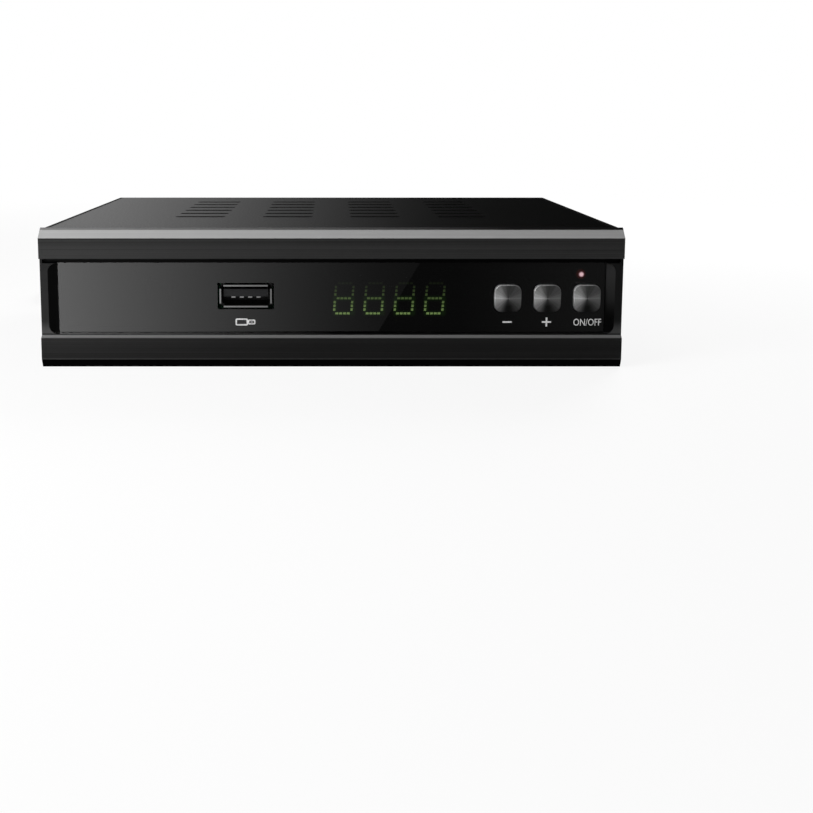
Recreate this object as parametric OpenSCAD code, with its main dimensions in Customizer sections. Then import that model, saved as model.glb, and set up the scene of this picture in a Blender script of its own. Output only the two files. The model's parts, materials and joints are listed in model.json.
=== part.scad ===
// Television receiver box: a folded steel case, a moulded front with a smoked window and three keys,
// the board and sockets inside it, and a fixed mains lead whose spare length is coiled behind it.
// Millimetres. +Z is up, the front faces -Y, and the origin is on the table under the middle of the case.

/* [Case] */
// Width of the case
case_w = 145; // [143:1:170]
// Depth from the front face to the back of the cover
case_d = 90; // [88:1:120]
// Height of the case
case_h = 35; // [34.5:0.5:42]
// Thickness of the steel sheet
sheet_t = 0.7; // [0.5:0.1:1]
// Outside radius of the cover's long bends
bend_r = 1.5; // [1.2:0.1:3]
// Gap between pieces that slide together
fit = 0.15; // [0.1:0.05:0.25]
// Height of the cover's lower edge above the table
cover_lift = 0.3; // [0.2:0.1:0.6]
// Height of the tray's side walls
tray_wall_h = 7; // [4:0.5:8]
// Depth of the rear panel's lip on the tray
panel_lip = 6; // [4:0.5:7]

/* [Cover] */
// Width of the cover's folded rim round the rear panel
rim_w = 3.4; // [2.5:0.1:4]
// Distance of the cover screws from the sides of the case
screw_edge = 5.2; // [4.5:0.1:6]
// Height of the cover screws
screw_z = 9.2; // [7:0.1:14]
// Radius of the ears round the cover screws
ear_r = 3.5; // [3:0.1:4]
// Thread diameter of the cover screws
screw_d = 3; // [2.5:0.1:3.5]
// Length of the cover screws below the head
screw_l = 6; // [4:0.5:8]
// Head diameter of the cover screws
screw_head_d = 5.6; // [5:0.1:6.5]
// Head height of the cover screws
screw_head_h = 1.7; // [1.4:0.1:2.5]
// Number of vent groups across the top
vent_groups = 4; // [1:1:5]
// Number of slots in a vent group
vent_slots = 6; // [1:1:7]
// Length of a vent slot
vent_l = 13.8; // [8:0.1:18]
// Width of a vent slot
vent_w = 2.4; // [1:0.1:3]
// Spacing of the slots along the depth
vent_pitch = 9; // [4:0.1:10]
// Spacing of the vent groups across the width
vent_group_pitch = 24; // [20:0.5:28]
// Distance of the first slot from the back of the cover
vent_back = 17; // [8:0.5:20]

/* [Front] */
// Height of the chamfer at the foot of the front
foot_h = 2; // [1:0.1:3]
// Depth of the chamfer at the foot of the front
foot_in = 0.8; // [0.5:0.1:2]
// Height of the top of the lower band, as a share of the case's height
lower_share = 0.209; // [0.18:0.001:0.22]
// Height and depth of the sloped lip over the lower band
lip = 0.8; // [0.5:0.1:1]
// Height of the bright chamfer along the top, as a share of the case's height
strip_share = 0.07; // [0.05:0.001:0.09]
// Height of the upper band below the bright chamfer, as a share of the case's height
upper_share = 0.147; // [0.13:0.001:0.16]
// Distance of the row of keys below the middle of the window
row_drop = 0.1; // [0:0.1:0.5]
// Height of the shadow groove below the upper band
groove_h = 1.2; // [0.5:0.1:1.5]
// Depth of the shadow groove at the ends
groove_in = 2; // [1:0.1:2.2]
// Distance of the shadow groove from the sides of the case
groove_end = 0.6; // [0.4:0.1:1]
// Depth of the outer cap of the front
cap_t = 2.3; // [2.2:0.1:3]
// Width of the plain margin at each end of the window
margin_w = 1.9; // [1:0.1:3]
// Width of the slope at each end of the window
slope_w = 2.1; // [1:0.1:3]
// Corner radius of the window's recess
recess_r = 2.2; // [1:0.1:3]
// Depth of the window's face below the front face
window_in = 2.4; // [2:0.1:2.6]
// Thickness of the window
window_t = 1.5; // [1:0.1:2]
// Ledge behind the long edges of the window
ledge = 1.2; // [0.8:0.1:1.5]
// Ledge behind the ends of the window
end_ledge = 0.5; // [0.4:0.1:1]
// Thickness of the wall behind the window
ledge_t = 1.2; // [1:0.1:2]
// Length of the rim that slides into the cover
spigot_l = 6; // [4:0.5:6]
// Thickness of that rim
spigot_t = 1.6; // [1:0.1:2]
// Diameter of the posts that carry the front board
post_d = 4.6; // [4:0.1:5]

/* [Keys] */
// Width of a key cap, as a share of the window's height
key_share = 0.375; // [0.34:0.005:0.42]
// Height of a key cap, as a share of its width
key_tall = 1.04; // [1:0.01:1.06]
// Corner radius of a key cap
key_r = 1.9; // [1:0.1:2.5]
// Height of a key cap above the window
key_up = 0.9; // [0.7:0.1:1.2]
// Space between two key caps
key_space = 3.2; // [2.5:0.05:3.5]
// Gap round a key cap in the window
key_gap = 0.12; // [0.1:0.01:0.2]
// Width of the collar that keeps a key behind the window
key_collar = 0.45; // [0.3:0.05:0.5]
// Thickness of that collar
key_collar_t = 1; // [0.6:0.1:1.5]
// Gap between the power key's collar and the end of the opening
key_end_gap = 0.2; // [0.1:0.05:0.5]
// Travel of a key
key_travel = 0.5; // [0.3:0.1:0.6]
// Side of a switch body
switch_w = 6; // [5:0.1:7]
// Height of a switch body
switch_h = 3.5; // [3:0.1:4]
// Diameter of a switch plunger
plunger_d = 3.4; // [3:0.1:4]
// Height of a switch plunger above its body
plunger_up = 1; // [0.8:0.1:1.5]
// Depth of a switch plunger in its body
plunger_in = 1.2; // [0.8:0.1:1.4]
// Gap round a switch plunger
plunger_gap = 0.05; // [0.05:0.01:0.1]

/* [Display] */
// Place of the display, as a share of half the case's width
display_share = 0.199; // [0.08:0.001:0.23]
// Width of the display module
display_w = 30.2; // [28:0.1:34]
// Gap above and below the display module in the opening behind the window
display_gap = 0.8; // [0.4:0.05:2]
// Depth of the display module
display_t = 7.2; // [5:0.1:8]
// Gap between the window and what stands behind it
behind_gap = 0.3; // [0.2:0.05:0.5]
// Distance of the standby lamp from the end of the window
lamp_edge = 5.6; // [5:0.1:8]
// Gap between the standby lamp and the top of the opening behind the window
lamp_gap = 0.55; // [0.2:0.05:1]
// Diameter of the standby lamp, as a share of the window's height
lamp_share = 0.168; // [0.12:0.002:0.17]
// Place of the remote control sensor, as a share of half the case's width
sensor_share = -0.62; // [-0.75:0.005:-0.5]
// Width of the remote control sensor
sensor_w = 6; // [5:0.1:8]
// Depth of the remote control sensor's body
sensor_t = 4; // [3:0.1:5]

/* [Boards] */
// Height of the pillars under the main board
pillar_h = 9.1; // [8:0.1:9.4]
// Diameter of the pillars
pillar_d = 5.5; // [5:0.1:6]
// Thickness of the boards
board_t = 1.6; // [1:0.1:2]
// Distance of the front board from the front face
front_board_in = 13.5; // [13:0.1:15]
// Distance of the main board from the front face
board_in = 20; // [19:0.5:22]
// Distance of the board screws from the sides of the main board
pillar_edge = 4.5; // [4:0.1:6]
// Thread diameter of the board screws
board_screw_d = 2.4; // [2:0.1:2.6]
// Head diameter of the board screws
board_head_d = 4.6; // [4:0.1:5]
// Head height of the board screws
board_head_h = 1.4; // [1:0.1:1.8]
// Length of the board screws below the head
board_screw_l = 6; // [5:0.5:8]
// Side of the processor
chip_w = 16; // [12:0.5:20]
// Height of the processor
chip_h = 1.4; // [1:0.1:2]
// Side of the heatsink
sink_w = 24; // [18:0.5:26]
// Height of the heatsink
sink_h = 8; // [5:0.5:10]
// Number of fins on the heatsink
sink_fins = 7; // [4:1:9]
// Diameter of the board's small capacitors
small_cap_d = 6.3; // [5:0.1:7]
// Height of the board's small capacitors
small_cap_h = 11; // [7:0.5:12]
// Diameter of the mains capacitor
mains_cap_d = 10; // [8:0.5:12]
// Height of the mains capacitor
mains_cap_h = 14; // [10:0.5:15]
// Diameter of the mains fuse
fuse_d = 5.2; // [5:0.1:6]
// Length of the mains fuse
fuse_l = 20; // [15:0.5:22]
// Width of the transformer
trafo_w = 18; // [16:0.5:20]
// Height of the transformer above its base
trafo_h = 15; // [12:0.5:17]

/* [Round jacks] */
// Gap between a socket and its hole in the rear panel
socket_gap = 0.25; // [0.2:0.05:0.4]
// Place of the antenna jack, as a share of half the case's width
antenna_share = 0.788; // [0.775:0.001:0.795]
// Height of the antenna jack above the board
antenna_up = 7.1; // [6.5:0.1:9]
// How far the antenna jack stands out behind the case
antenna_out = 3; // [2:0.5:5]
// Outside diameter of the antenna jack
antenna_d = 11.2; // [10.8:0.1:12]
// Bore of the antenna jack
antenna_bore = 9.5; // [9:0.1:9.8]
// Outside diameter of the antenna jack's middle contact
contact_d = 3; // [2.8:0.1:3.4]
// Bore of the antenna jack's middle contact
contact_bore = 2.4; // [2.3:0.05:2.5]
// Width of the tuner's can
tuner_w = 14; // [12:0.1:14.2]
// Depth of the tuner's can
tuner_l = 32; // [24:0.5:36]
// Height of the tuner's can
tuner_h = 14.2; // [13:0.1:16]
// Distance of the tuner's can from the rear panel
tuner_back = 6; // [3:0.5:7]
// Place of the coaxial jack, as a share of half the case's width
coax_share = 0.576; // [0.566:0.001:0.59]
// Height of the coaxial jack above the board
coax_up = 7.7; // [6.5:0.1:9]
// How far the coaxial jack stands out behind the case
coax_out = 6; // [5.5:0.5:8]
// Outside diameter of the coaxial jack
coax_d = 8.2; // [8:0.1:8.6]
// Diameter of the coaxial jack where it goes through the rear panel
coax_root_d = 7.8; // [7.4:0.1:7.9]
// Wall of the coaxial jack
coax_wall = 0.95; // [0.6:0.05:1.2]
// Bore of the coaxial jack's insulator
coax_bore = 3.2; // [3:0.1:3.6]
// Side of the coaxial jack's base
coax_base_w = 10; // [9:0.1:11]
// Depth of the coaxial jack's base
coax_base_l = 12; // [8:0.5:14]
// Height of the coaxial jack's base
coax_base_h = 12.8; // [12:0.1:15]

/* [Flat sockets] */
// Thickness of the socket shells
shell_t = 0.4; // [0.3:0.05:0.5]
// How far the flat sockets stand out of the cover's rim
socket_out = 0.6; // [0.2:0.1:1]
// Place of the rear data socket, as a share of half the case's width
usb_share = 0.393; // [0.385:0.001:0.41]
// Height of the rear data socket above the board
usb_up = 7.7; // [7.5:0.1:9]
// Place of the front data socket, as a share of half the case's width
front_usb_share = -0.297; // [-0.38:0.001:-0.22]
// Height of the front data socket above the row of keys
front_usb_up = 0.5; // [0:0.1:1]
// Space around the front data socket in the window
usb_reveal = 0.5; // [0.2:0.1:0.7]
// Long side of a data socket's shell
usb_w = 13.1; // [12.8:0.1:13.4]
// Short side of a data socket's shell
usb_h = 5.7; // [5.4:0.1:6]
// Length of the rear data socket's shell
usb_l = 14; // [12:0.5:18]
// Gap round the rear data socket in the panel
usb_gap = 0.6; // [0.3:0.05:0.9]
// Place of the picture socket, as a share of half the case's width
hdmi_share = 0.143; // [0.135:0.001:0.16]
// Height of the picture socket above the board
hdmi_up = 4.4; // [4:0.1:6]
// Width of the picture socket
hdmi_w = 15.2; // [14.8:0.1:15.4]
// Height of the picture socket
hdmi_h = 5.8; // [5.4:0.1:6]
// Length of the picture socket
hdmi_l = 11; // [9:0.5:14]
// Cut of the picture socket's lower corners
hdmi_cut = 2.1; // [1.5:0.1:2.4]
// Place of the 21-pole socket, as a share of half the case's width
scart_share = -0.364; // [-0.37:0.001:-0.35]
// Gap between the 21-pole socket and the board
scart_lift = 0.45; // [0.3:0.05:0.8]
// Width of the 21-pole socket
scart_w = 48.6; // [48:0.1:49]
// Height of the 21-pole socket
scart_h = 17.5; // [17:0.1:17.8]
// Corner radius of the 21-pole socket
scart_r = 3.4; // [2.5:0.1:4]
// Slope of the 21-pole socket's keyed side
scart_slant = 3; // [2:0.1:4]
// Wall of the 21-pole socket
scart_wall = 1.45; // [1:0.05:1.6]
// Gap between that wall and the contact block
scart_gap = 1.35; // [1:0.05:1.6]
// How far the 21-pole socket stands out of the cover's rim
scart_out = 1.2; // [0.5:0.1:2]
// Depth of the 21-pole socket's cavity
scart_depth = 11; // [9:0.5:12]
// Spacing of the poles along a row
pole_pitch = 3.81; // [3.7:0.01:3.9]
// Spacing of the two rows of poles
pole_rows = 5.2; // [5:0.1:5.4]
// Width of a pole's slot
pole_w = 1.7; // [1.4:0.1:2]
// Height of a pole's slot
pole_h = 4; // [3.5:0.1:4.4]

/* [Mains lead] */
// Place of the cord's bushing, as a share of half the case's width
cord_share = -0.847; // [-0.85:0.001:-0.84]
// Width of the bushing
bushing_w = 9; // [8:0.1:9.6]
// Height of the bushing
bushing_h = 10.1; // [9:0.1:11]
// How far the bushing stands out of the cover's rim
bushing_out = 1.5; // [1:0.1:3]
// Depth of the groove round the bushing that holds the panel
bushing_groove = 0.8; // [0.5:0.1:1.2]
// Depth of the bushing behind the panel
bushing_in = 2.5; // [1.5:0.1:4]
// Length of the ribbed sleeve
sleeve_l = 20; // [20:0.5:24]
// Diameter of the sleeve at its root
sleeve_d = 7.6; // [7:0.1:8]
// Diameter of the sleeve at its tip
sleeve_tip_d = 5.2; // [4.6:0.1:6]
// Number of grooves along the sleeve
sleeve_grooves = 5; // [3:1:7]
// Diameter of the cord
cord_d = 3.2; // [3:0.1:3.2]
// Diameter of the cord's two cores inside the case
core_d = 1.6; // [1.2:0.1:1.8]
// Gap between the turns of the coil
turn_gap = 0.5; // [0.48:0.01:0.6]
// Radius of the coil's inner turn
coil_in_r = 12.4; // [12:0.1:13]
// Thickness of the tie round the coil
tie_t = 0.5; // [0.4:0.05:0.8]
// Width of the tie round the coil
tie_w = 5; // [3:0.1:8]
// Width of the plug across its pins
plug_w = 35; // [34:0.5:36]
// Thickness of the plug
plug_h = 13.7; // [13:0.1:14]
// Length of the plug's body
plug_l = 36; // [34:0.5:40]
// Diameter of a plug pin
pin_d = 4; // [3.8:0.1:4]
// Length of a plug pin
pin_l = 19; // [18:0.5:19]
// Spacing of the plug pins
pin_span = 18.4; // [18:0.1:19]

/* [Hidden] */
$fn = 48;
// How far a cut runs past the face that it opens
over = 1;
// How far joined shapes of one piece reach into each other
root = 0.2;

// Main planes of the case
half_w = case_w / 2;
y_front = -(case_d + coax_out) / 2;
y_rear = y_front + case_d;
panel_y1 = y_rear - sheet_t;
panel_y0 = panel_y1 - sheet_t;
in_x = half_w - sheet_t - fit;
in_z = sheet_t + fit;
in_top = case_h - sheet_t - fit;
cover_y0 = y_front + cap_t + fit;
screw_x = half_w - screw_edge;
screw_gap = 0.1;
cover_screw_gap = 0.4;
// Cross slots and crown of a screw, as shares of its head
slot_w_share = 0.16;
slot_l_share = 0.55;
slot_in_share = 0.65;
crown_share = 0.7;
// Sides of a round that is part of a hull
hull_sides = 32;

// Heights and depths of the front
strip_h = strip_share * case_h;
upper_h = upper_share * case_h;
lower_z = lower_share * case_h;
groove_z1 = case_h - strip_h - upper_h;
window_z1 = groove_z1 - groove_h;
window_step = 0.2;
window_z0 = lower_z + lip + window_step;
window_h = window_z1 - window_z0;
window_mid = (window_z0 + window_z1) / 2;
row_z = window_mid - row_drop;
recess_x = half_w - margin_w;
window_x = recess_x - slope_w;
window_gap = 0.05;
window_y0 = y_front + window_in;
window_y1 = window_y0 + window_t;
bezel_y1 = window_y1 + ledge_t;
open_x = window_x - end_ledge;
open_z0 = window_z0 + ledge;
open_z1 = window_z1 - ledge;
front_board_y = y_front + front_board_in;
front_board_y1 = front_board_y + board_t;
front_board_gap = 2;
post_x = open_x - post_d;
post_zs = [(in_z + spigot_t + open_z0) / 2, (open_z1 + in_top - spigot_t) / 2];

// Keys and their switches
key_w = key_share * window_h;
key_h = key_tall * key_w;
key_step = key_w + key_space;
power_x = open_x - key_end_gap - key_collar - key_w / 2;
key_xs = [power_x - 2 * key_step, power_x - key_step, power_x];
key_y0 = window_y0 - key_up;
collar_y0 = window_y1 + window_gap;
collar_y1 = collar_y0 + key_collar_t;
switch_y0 = front_board_y - switch_h;
stem_y1 = switch_y0 - plunger_up;
plunger_y1 = switch_y0 + plunger_in;
plunger_spare = 0.3;

// Lamp, sensor and display behind the window
behind_y = window_y1 + behind_gap;
display_x = display_share * half_w;
sensor_x = sensor_share * half_w;
front_usb_x = front_usb_share * half_w;
lamp_x = window_x - lamp_edge;
lamp_d = lamp_share * window_h;
lamp_z = open_z1 - lamp_gap - lamp_d / 2;
display_h = open_z1 - open_z0 - 2 * display_gap;
lamp_l = 4.5;
lamp_leg_d = 0.6;
lamp_leg_span = 1.4;
holder_in = 1;
sensor_dome_share = 0.8;
front_usb_l = front_board_y - window_y0 + fit;

// Places of the rear sockets and of the cord across the case
antenna_x = antenna_share * half_w;
coax_x = coax_share * half_w;
usb_x = usb_share * half_w;
hdmi_x = hdmi_share * half_w;
scart_x = scart_share * half_w;
cord_x = cord_share * half_w;

// Main board, and places on it from its front and left edges
board_z = sheet_t + pillar_h;
board_top = board_z + board_t;
board_y0 = y_front + board_in;
board_back_gap = 0.6;
board_y1 = panel_y0 - board_back_gap;
board_side_gap = 1.3;
board_x = screw_x - screw_d / 2 - board_side_gap;
pillar_gap = 1;
rear_pillar_y = panel_y0 - panel_lip - pillar_d / 2 - pillar_gap;
rear_pillar_x = (usb_x - usb_h / 2 + hdmi_x + hdmi_w / 2) / 2;
pillars = [
    [board_x - pillar_edge, board_y0 + pillar_edge],
    [-board_x + pillar_edge, board_y0 + pillar_edge],
    [rear_pillar_x, rear_pillar_y],
    [(-board_x + scart_x - scart_w / 2) / 2, rear_pillar_y]
];
connector_w = 22;
connector_h = 3;
connector_in = 5;
chip_in = 26;
chip_at = [hdmi_x, board_y0 + chip_in];
fin_t = 1.2;
sink_base_t = 2;
small_caps = [[32, 10], [40, 10], [-16, 10], [-24, 10], [44, 24]];
trafo_edge = 19;
trafo_in = 20;
trafo_at = [-board_x + trafo_edge, board_y0 + trafo_in];
trafo_core_l = 8;
trafo_leg = 3;
trafo_base_t = 2;
trafo_gap = 0.1;
mains_cap_in = 40;
mains_cap_at = [-board_x + trafo_edge, board_y0 + mains_cap_in];
fuse_edge = 5;
fuse_in = 14;
fuse_at = [-board_x + fuse_edge, board_y0 + fuse_in];

// Heights and planes of the rear sockets
antenna_z = board_top + antenna_up;
coax_z = board_top + coax_up;
usb_z = board_top + usb_up;
hdmi_z = board_top + hdmi_up;
scart_z = board_top + scart_lift + scart_h / 2;
tuner_y1 = panel_y0 - tuner_back;
insulator_t = 2;
press_gap = 0.05;
contact_in = 1;
coax_y0 = panel_y0 - board_back_gap;
coax_y1 = y_rear + coax_out;
coax_in = 0.3;
coax_contact_l = 1.5;
coax_contact_d = 2;
socket_y1 = y_rear + socket_out;
tab_t = 0.8;
tab_l = 3;
tongue_w = 11.2;
tongue_t = 1.9;
tongue_up = 0.7;
tongue_in = 1;
tongue_block = 3;
usb_pin_w = 1;
usb_pin_t = 0.3;
usb_pin_pitch = 2.1;
usb_pin_count = 4;
shell_notch = 1;
shell_notch_in = 3;
hdmi_tongue_w = 10.6;
hdmi_tongue_t = 1;
scart_y1 = y_rear + scart_out;
scart_y0 = scart_y1 - scart_depth - tongue_block;
scart_block_in = 0.6;
pole_count = 10;
pole_depth = 8;
pole_pin_t = 0.6;
pole_pin_h = 3;
pole_pin_l = 3.5;

// Bushing, sleeve and the cores inside the case
bushing_top = case_h - rim_w - fit;
cord_z = bushing_top - bushing_h / 2;
sleeve_y0 = y_rear + bushing_out;
sleeve_y1 = sleeve_y0 + sleeve_l;
sleeve_groove_in = 1.1;
sleeve_groove_share = 0.5;
mains_block = [6, 6, 8];
mains_block_in = 48;
mains_block_y = board_y0 + mains_block_in;
core_span = 2.4;
core_bend = 6.4;
core_gap = 0.1;

// Route of the lead behind the case: X and Y from the tip of the sleeve, and Z from the table
lead_start = [cord_x, sleeve_y1, 0];
lead_route = [
    [0, 5, cord_z], [-0.9, 11, 25.2], [-3.2, 15.4, 21.5], [-6.5, 17, 16.5], [-9.7, 15.4, 11.4],
    [-12, 11, 7.7], [-13, 5, 5.8], [-13.3, -2, 4], [-13.3, -9, 2.4], [-13.2, -16, 1.8],
    [-14.8, -22, 1.7], [-19.2, -26.4, 1.7], [-25.2, -28, 1.7], [-31.2, -26.4, 1.7],
    [-35.6, -22, 1.7], [-37.2, -16, 1.7], [-37.4, -8, 1.7], [-35.8, -1, 1.7], [-31.2, 4.6, 1.7],
    [-24.4, 7.7, 1.7], [-17.8, 10.6, 1.8], [-13.2, 16.2, 2]
];
tail_route = [[38, 48.4, 5.2], [45, 43.6, 4.6], [52, 38.6, 4.6], [58, 35.5, 5.8]];
plug_at = [65.4, 34.5, plug_h / 2];
coil_at = [15.4, 30.5, 0];
end_run = 4;
lead_steps = 2;
cord_sides = 8;
// A direction that the lead never runs along
lead_up = [0.8, 0, -0.6];

// Turns of the coil: in on the lower layer, up in half a turn, and out again on the upper layer
turn_pitch = cord_d + turn_gap;
layer_turns = 3.9167;
climb_turns = 0.5;
coil_turns = 2 * layer_turns + climb_turns;
coil_start_angle = 180;
coil_out_r = coil_in_r + turn_pitch * layer_turns;
// How far the climb dips inside the inner turn
coil_dip = turn_pitch * climb_turns / 4;
coil_gap = 0.05;
coil_z = tie_t + coil_gap + cord_d / 2;
rings_per_turn = 24;
coil_sides = 6;
tie_room = 0.4;

// Plug
plug_tail_w = 12;
plug_tail_h = 9;
plug_nose_l = 14;
plug_r = 3;

function unit(v) = v / norm(v);

// One point of a smooth curve through the points p, a share t of the way from point i to the next
function curve_point(p, i, t) =
    let (a = p[max(i - 1, 0)], b = p[i], c = p[i + 1], d = p[min(i + 2, len(p) - 1)])
    0.5 * (2 * b + (c - a) * t + (2 * a - 5 * b + 4 * c - d) * t ^ 2 + (3 * b - a - 3 * c + d) * t ^ 3);

function curve(p, steps) = concat(
    [for (i = [0 : len(p) - 2]) for (s = [0 : steps - 1]) curve_point(p, i, s / steps)],
    [p[len(p) - 1]]
);

function heading(p, i) = unit(p[min(i + 1, len(p) - 1)] - p[max(i - 1, 0)]);

function ring(centre, along, up, r, sides) =
    let (u = unit(cross(along, up)), v = cross(along, u))
    [for (k = [0 : sides - 1]) centre + r * (cos(360 * k / sides) * u + sin(360 * k / sides) * v)];

function coil_radius(turn) =
    turn < layer_turns ? coil_out_r - turn_pitch * turn :
    turn < layer_turns + climb_turns ?
        let (s = turn - layer_turns) coil_in_r - turn_pitch * s + turn_pitch * s ^ 2 / climb_turns :
    coil_in_r + turn_pitch * (turn - layer_turns - climb_turns);

function coil_height(turn) =
    let (s = min(max((turn - layer_turns) / climb_turns, 0), 1))
    coil_z + turn_pitch * s ^ 2 * (3 - 2 * s);

function coil_point(turn) =
    let (a = coil_start_angle - 360 * turn, r = coil_radius(turn))
    lead_start + coil_at + [r * cos(a), r * sin(a), coil_height(turn)];

coil_heads = [[0, 1, 0], let (a = coil_start_angle - 360 * coil_turns) [sin(a), -cos(a), 0]];
coil_rings = round(coil_turns * rings_per_turn);
coil_path = concat(
    [coil_point(0) - cord_d * coil_heads[0]],
    [for (i = [0 : coil_rings]) coil_point(coil_turns * i / coil_rings)],
    [coil_point(coil_turns) + cord_d * coil_heads[1]]
);
lead_end = coil_path[0];
lead_path = curve(concat(
    [lead_start + [0, 0, cord_z]],
    [for (p = lead_route) lead_start + p],
    [lead_end - end_run * coil_heads[0], lead_end]
), lead_steps);
tail_start = coil_path[len(coil_path) - 1];
plug_entry = lead_start + plug_at;
tail_path = curve(concat(
    [tail_start, tail_start + end_run * coil_heads[1]],
    [for (p = tail_route) lead_start + p],
    [plug_entry - [end_run, 0, 0], plug_entry]
), lead_steps);

// Least gap between two stretches of the coil that are half a turn or more apart
turn_clear = min([
    for (i = [0 : len(coil_path) - 1])
        for (j = [i + rings_per_turn / 2 : 1 : len(coil_path) - 1])
            norm(coil_path[i] - coil_path[j]) - cord_d
]);
echo(str("Least gap between the turns of the coil: ", turn_clear, " mm"));

module box(low, high) {
    translate(low)
        cube(high - low);
}

// Pushes an outline that is drawn in X and Z along Y
module along_y(y0, y1) {
    translate([0, y1, 0])
        rotate([90, 0, 0])
            linear_extrude(y1 - y0)
                children();
}

module bar_y(x, z, y0, y1, d) {
    translate([x, y0, z])
        rotate([-90, 0, 0])
            cylinder(d = d, h = y1 - y0);
}

module rounded(w, h, r) {
    square([w - 2 * r, h], center = true);
    square([w, h - 2 * r], center = true);
    for (x = [-1, 1], y = [-1, 1])
        translate([x * (w / 2 - r), y * (h / 2 - r)])
            circle(r);
}

// Outline of the cover: upright sides and a flat top with round bends
module arch(w, foot, top, r) {
    translate([-w / 2, foot])
        square([w, top - r - foot]);
    translate([-w / 2 + r, foot])
        square([w - 2 * r, top - foot]);
    for (side = [-1, 1])
        translate([side * (w / 2 - r), top - r])
            circle(r);
}

// A tube of triangles along a path
module tube(path, up, d, sides) {
    count = len(path);
    points = [for (i = [0 : count - 1]) each ring(path[i], heading(path, i), up, d / 2, sides)];
    last = (count - 1) * sides;
    walls = [
        for (i = [0 : count - 2])
            for (k = [0 : sides - 1])
                let (a = i * sides + k, b = i * sides + (k + 1) % sides)
                    each [[a, b, a + sides], [b, b + sides, a + sides]]
    ];
    caps = [for (k = [1 : sides - 2]) each [[0, k + 1, k], [last, last + k, last + k + 1]]];
    polyhedron(points, concat(walls, caps));
}

module vent_slot() {
    half = (vent_l - vent_w) / 2;
    box([-half, -vent_w / 2, case_h - sheet_t - over], [half, vent_w / 2, case_h + over]);
    for (side = [-1, 1])
        translate([side * half, 0, case_h - sheet_t - over])
            cylinder(d = vent_w, h = sheet_t + 2 * over);
}

module cover_rim() {
    difference() {
        arch(case_w, cover_lift, case_h, bend_r);
        translate([-half_w + rim_w, cover_lift - over])
            square([case_w - 2 * rim_w, case_h - rim_w - cover_lift + over]);
    }
    for (side = [-1, 1]) {
        translate([side * screw_x, screw_z])
            circle(ear_r);
        translate([side * (screw_x + half_w - sheet_t) / 2, screw_z])
            square([half_w - sheet_t - screw_x, 2 * ear_r], center = true);
    }
}

module top_cover() {
    color("#2b2c2f")
        difference() {
            union() {
                along_y(cover_y0, panel_y1 + root)
                    difference() {
                        arch(case_w, cover_lift, case_h, bend_r);
                        arch(case_w - 2 * sheet_t, cover_lift - over, case_h - sheet_t, bend_r - sheet_t);
                    }
                along_y(panel_y1, y_rear)
                    cover_rim();
            }
            for (side = [-1, 1])
                bar_y(side * screw_x, screw_z, panel_y1 - over, y_rear + over, screw_d + cover_screw_gap);
            for (g = [0 : vent_groups - 1], s = [0 : vent_slots - 1])
                translate([
                    (g - (vent_groups - 1) / 2) * vent_group_pitch,
                    y_rear - vent_back - s * vent_pitch,
                    0
                ])
                    vent_slot();
        }
}

module base_tray() {
    wall_y0 = bezel_y1 + spigot_l + over;
    color("#8d9094") {
        box([-in_x, cover_y0, 0], [in_x, panel_y0, sheet_t]);
        for (side = [0, 1])
            mirror([side, 0, 0])
                box([in_x - sheet_t, wall_y0, sheet_t - root], [in_x, panel_y0, tray_wall_h]);
    }
}

// Outline of the picture socket, grown on all sides
function hdmi_points(grow) =
    let (w = hdmi_w / 2 + grow, h = hdmi_h / 2 + grow)
    [[-w, h], [w, h], [w, -h + hdmi_cut], [w - hdmi_cut, -h], [-w + hdmi_cut, -h], [-w, -h + hdmi_cut]];

// Outline of the 21-pole socket, grown on all sides
module scart_outline(grow) {
    x = scart_w / 2 - scart_r;
    z = scart_h / 2 - scart_r;
    hull()
        for (p = [[-x, z], [x, z], [x - scart_slant, -z], [-x, -z]])
            translate(p)
                circle(scart_r + grow, $fn = hull_sides);
}

module rear_panel() {
    neck_w = bushing_w - 2 * bushing_groove + 2 * fit;
    neck_z = bushing_top - bushing_h + bushing_groove - fit;
    color("#dcdddd")
        difference() {
            union() {
                along_y(panel_y0, panel_y1)
                    arch(2 * in_x, 0, in_top, bend_r - sheet_t);
                box(
                    [-in_x + panel_lip, panel_y0 - panel_lip, sheet_t],
                    [in_x - panel_lip, panel_y0 + root, 2 * sheet_t]
                );
            }
            bar_y(antenna_x, antenna_z, panel_y0 - over, panel_y1 + over, antenna_d + 2 * socket_gap);
            bar_y(coax_x, coax_z, panel_y0 - over, panel_y1 + over, coax_d + 2 * socket_gap);
            for (side = [-1, 1])
                bar_y(side * screw_x, screw_z, panel_y0 - over, panel_y1 + over, screw_d + screw_gap);
            along_y(panel_y0 - over, panel_y1 + over) {
                translate([usb_x, usb_z])
                    square([usb_h + 2 * usb_gap, usb_w + 2 * usb_gap], center = true);
                translate([hdmi_x, hdmi_z])
                    polygon(hdmi_points(socket_gap));
                translate([scart_x, scart_z])
                    scart_outline(socket_gap);
                translate([cord_x - neck_w / 2, neck_z])
                    square([neck_w, case_h]);
            }
        }
}

// A cross-head screw whose head stands on y = 0 and whose thread runs towards -Y
module cross_screw(d, l, head_d, head_h) {
    slot_w = head_d * slot_w_share;
    slot_l = head_d * slot_l_share;
    slot_in = head_h * slot_in_share;
    difference() {
        union() {
            bar_y(0, 0, -l, root, d);
            bar_y(0, 0, 0, head_h / 2, head_d);
            translate([0, head_h / 2, 0])
                rotate([-90, 0, 0])
                    cylinder(d1 = head_d, d2 = head_d * crown_share, h = head_h / 2);
        }
        box([-slot_l / 2, head_h - slot_in, -slot_w / 2], [slot_l / 2, head_h + over, slot_w / 2]);
        box([-slot_w / 2, head_h - slot_in, -slot_l / 2], [slot_w / 2, head_h + over, slot_l / 2]);
    }
}

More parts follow.
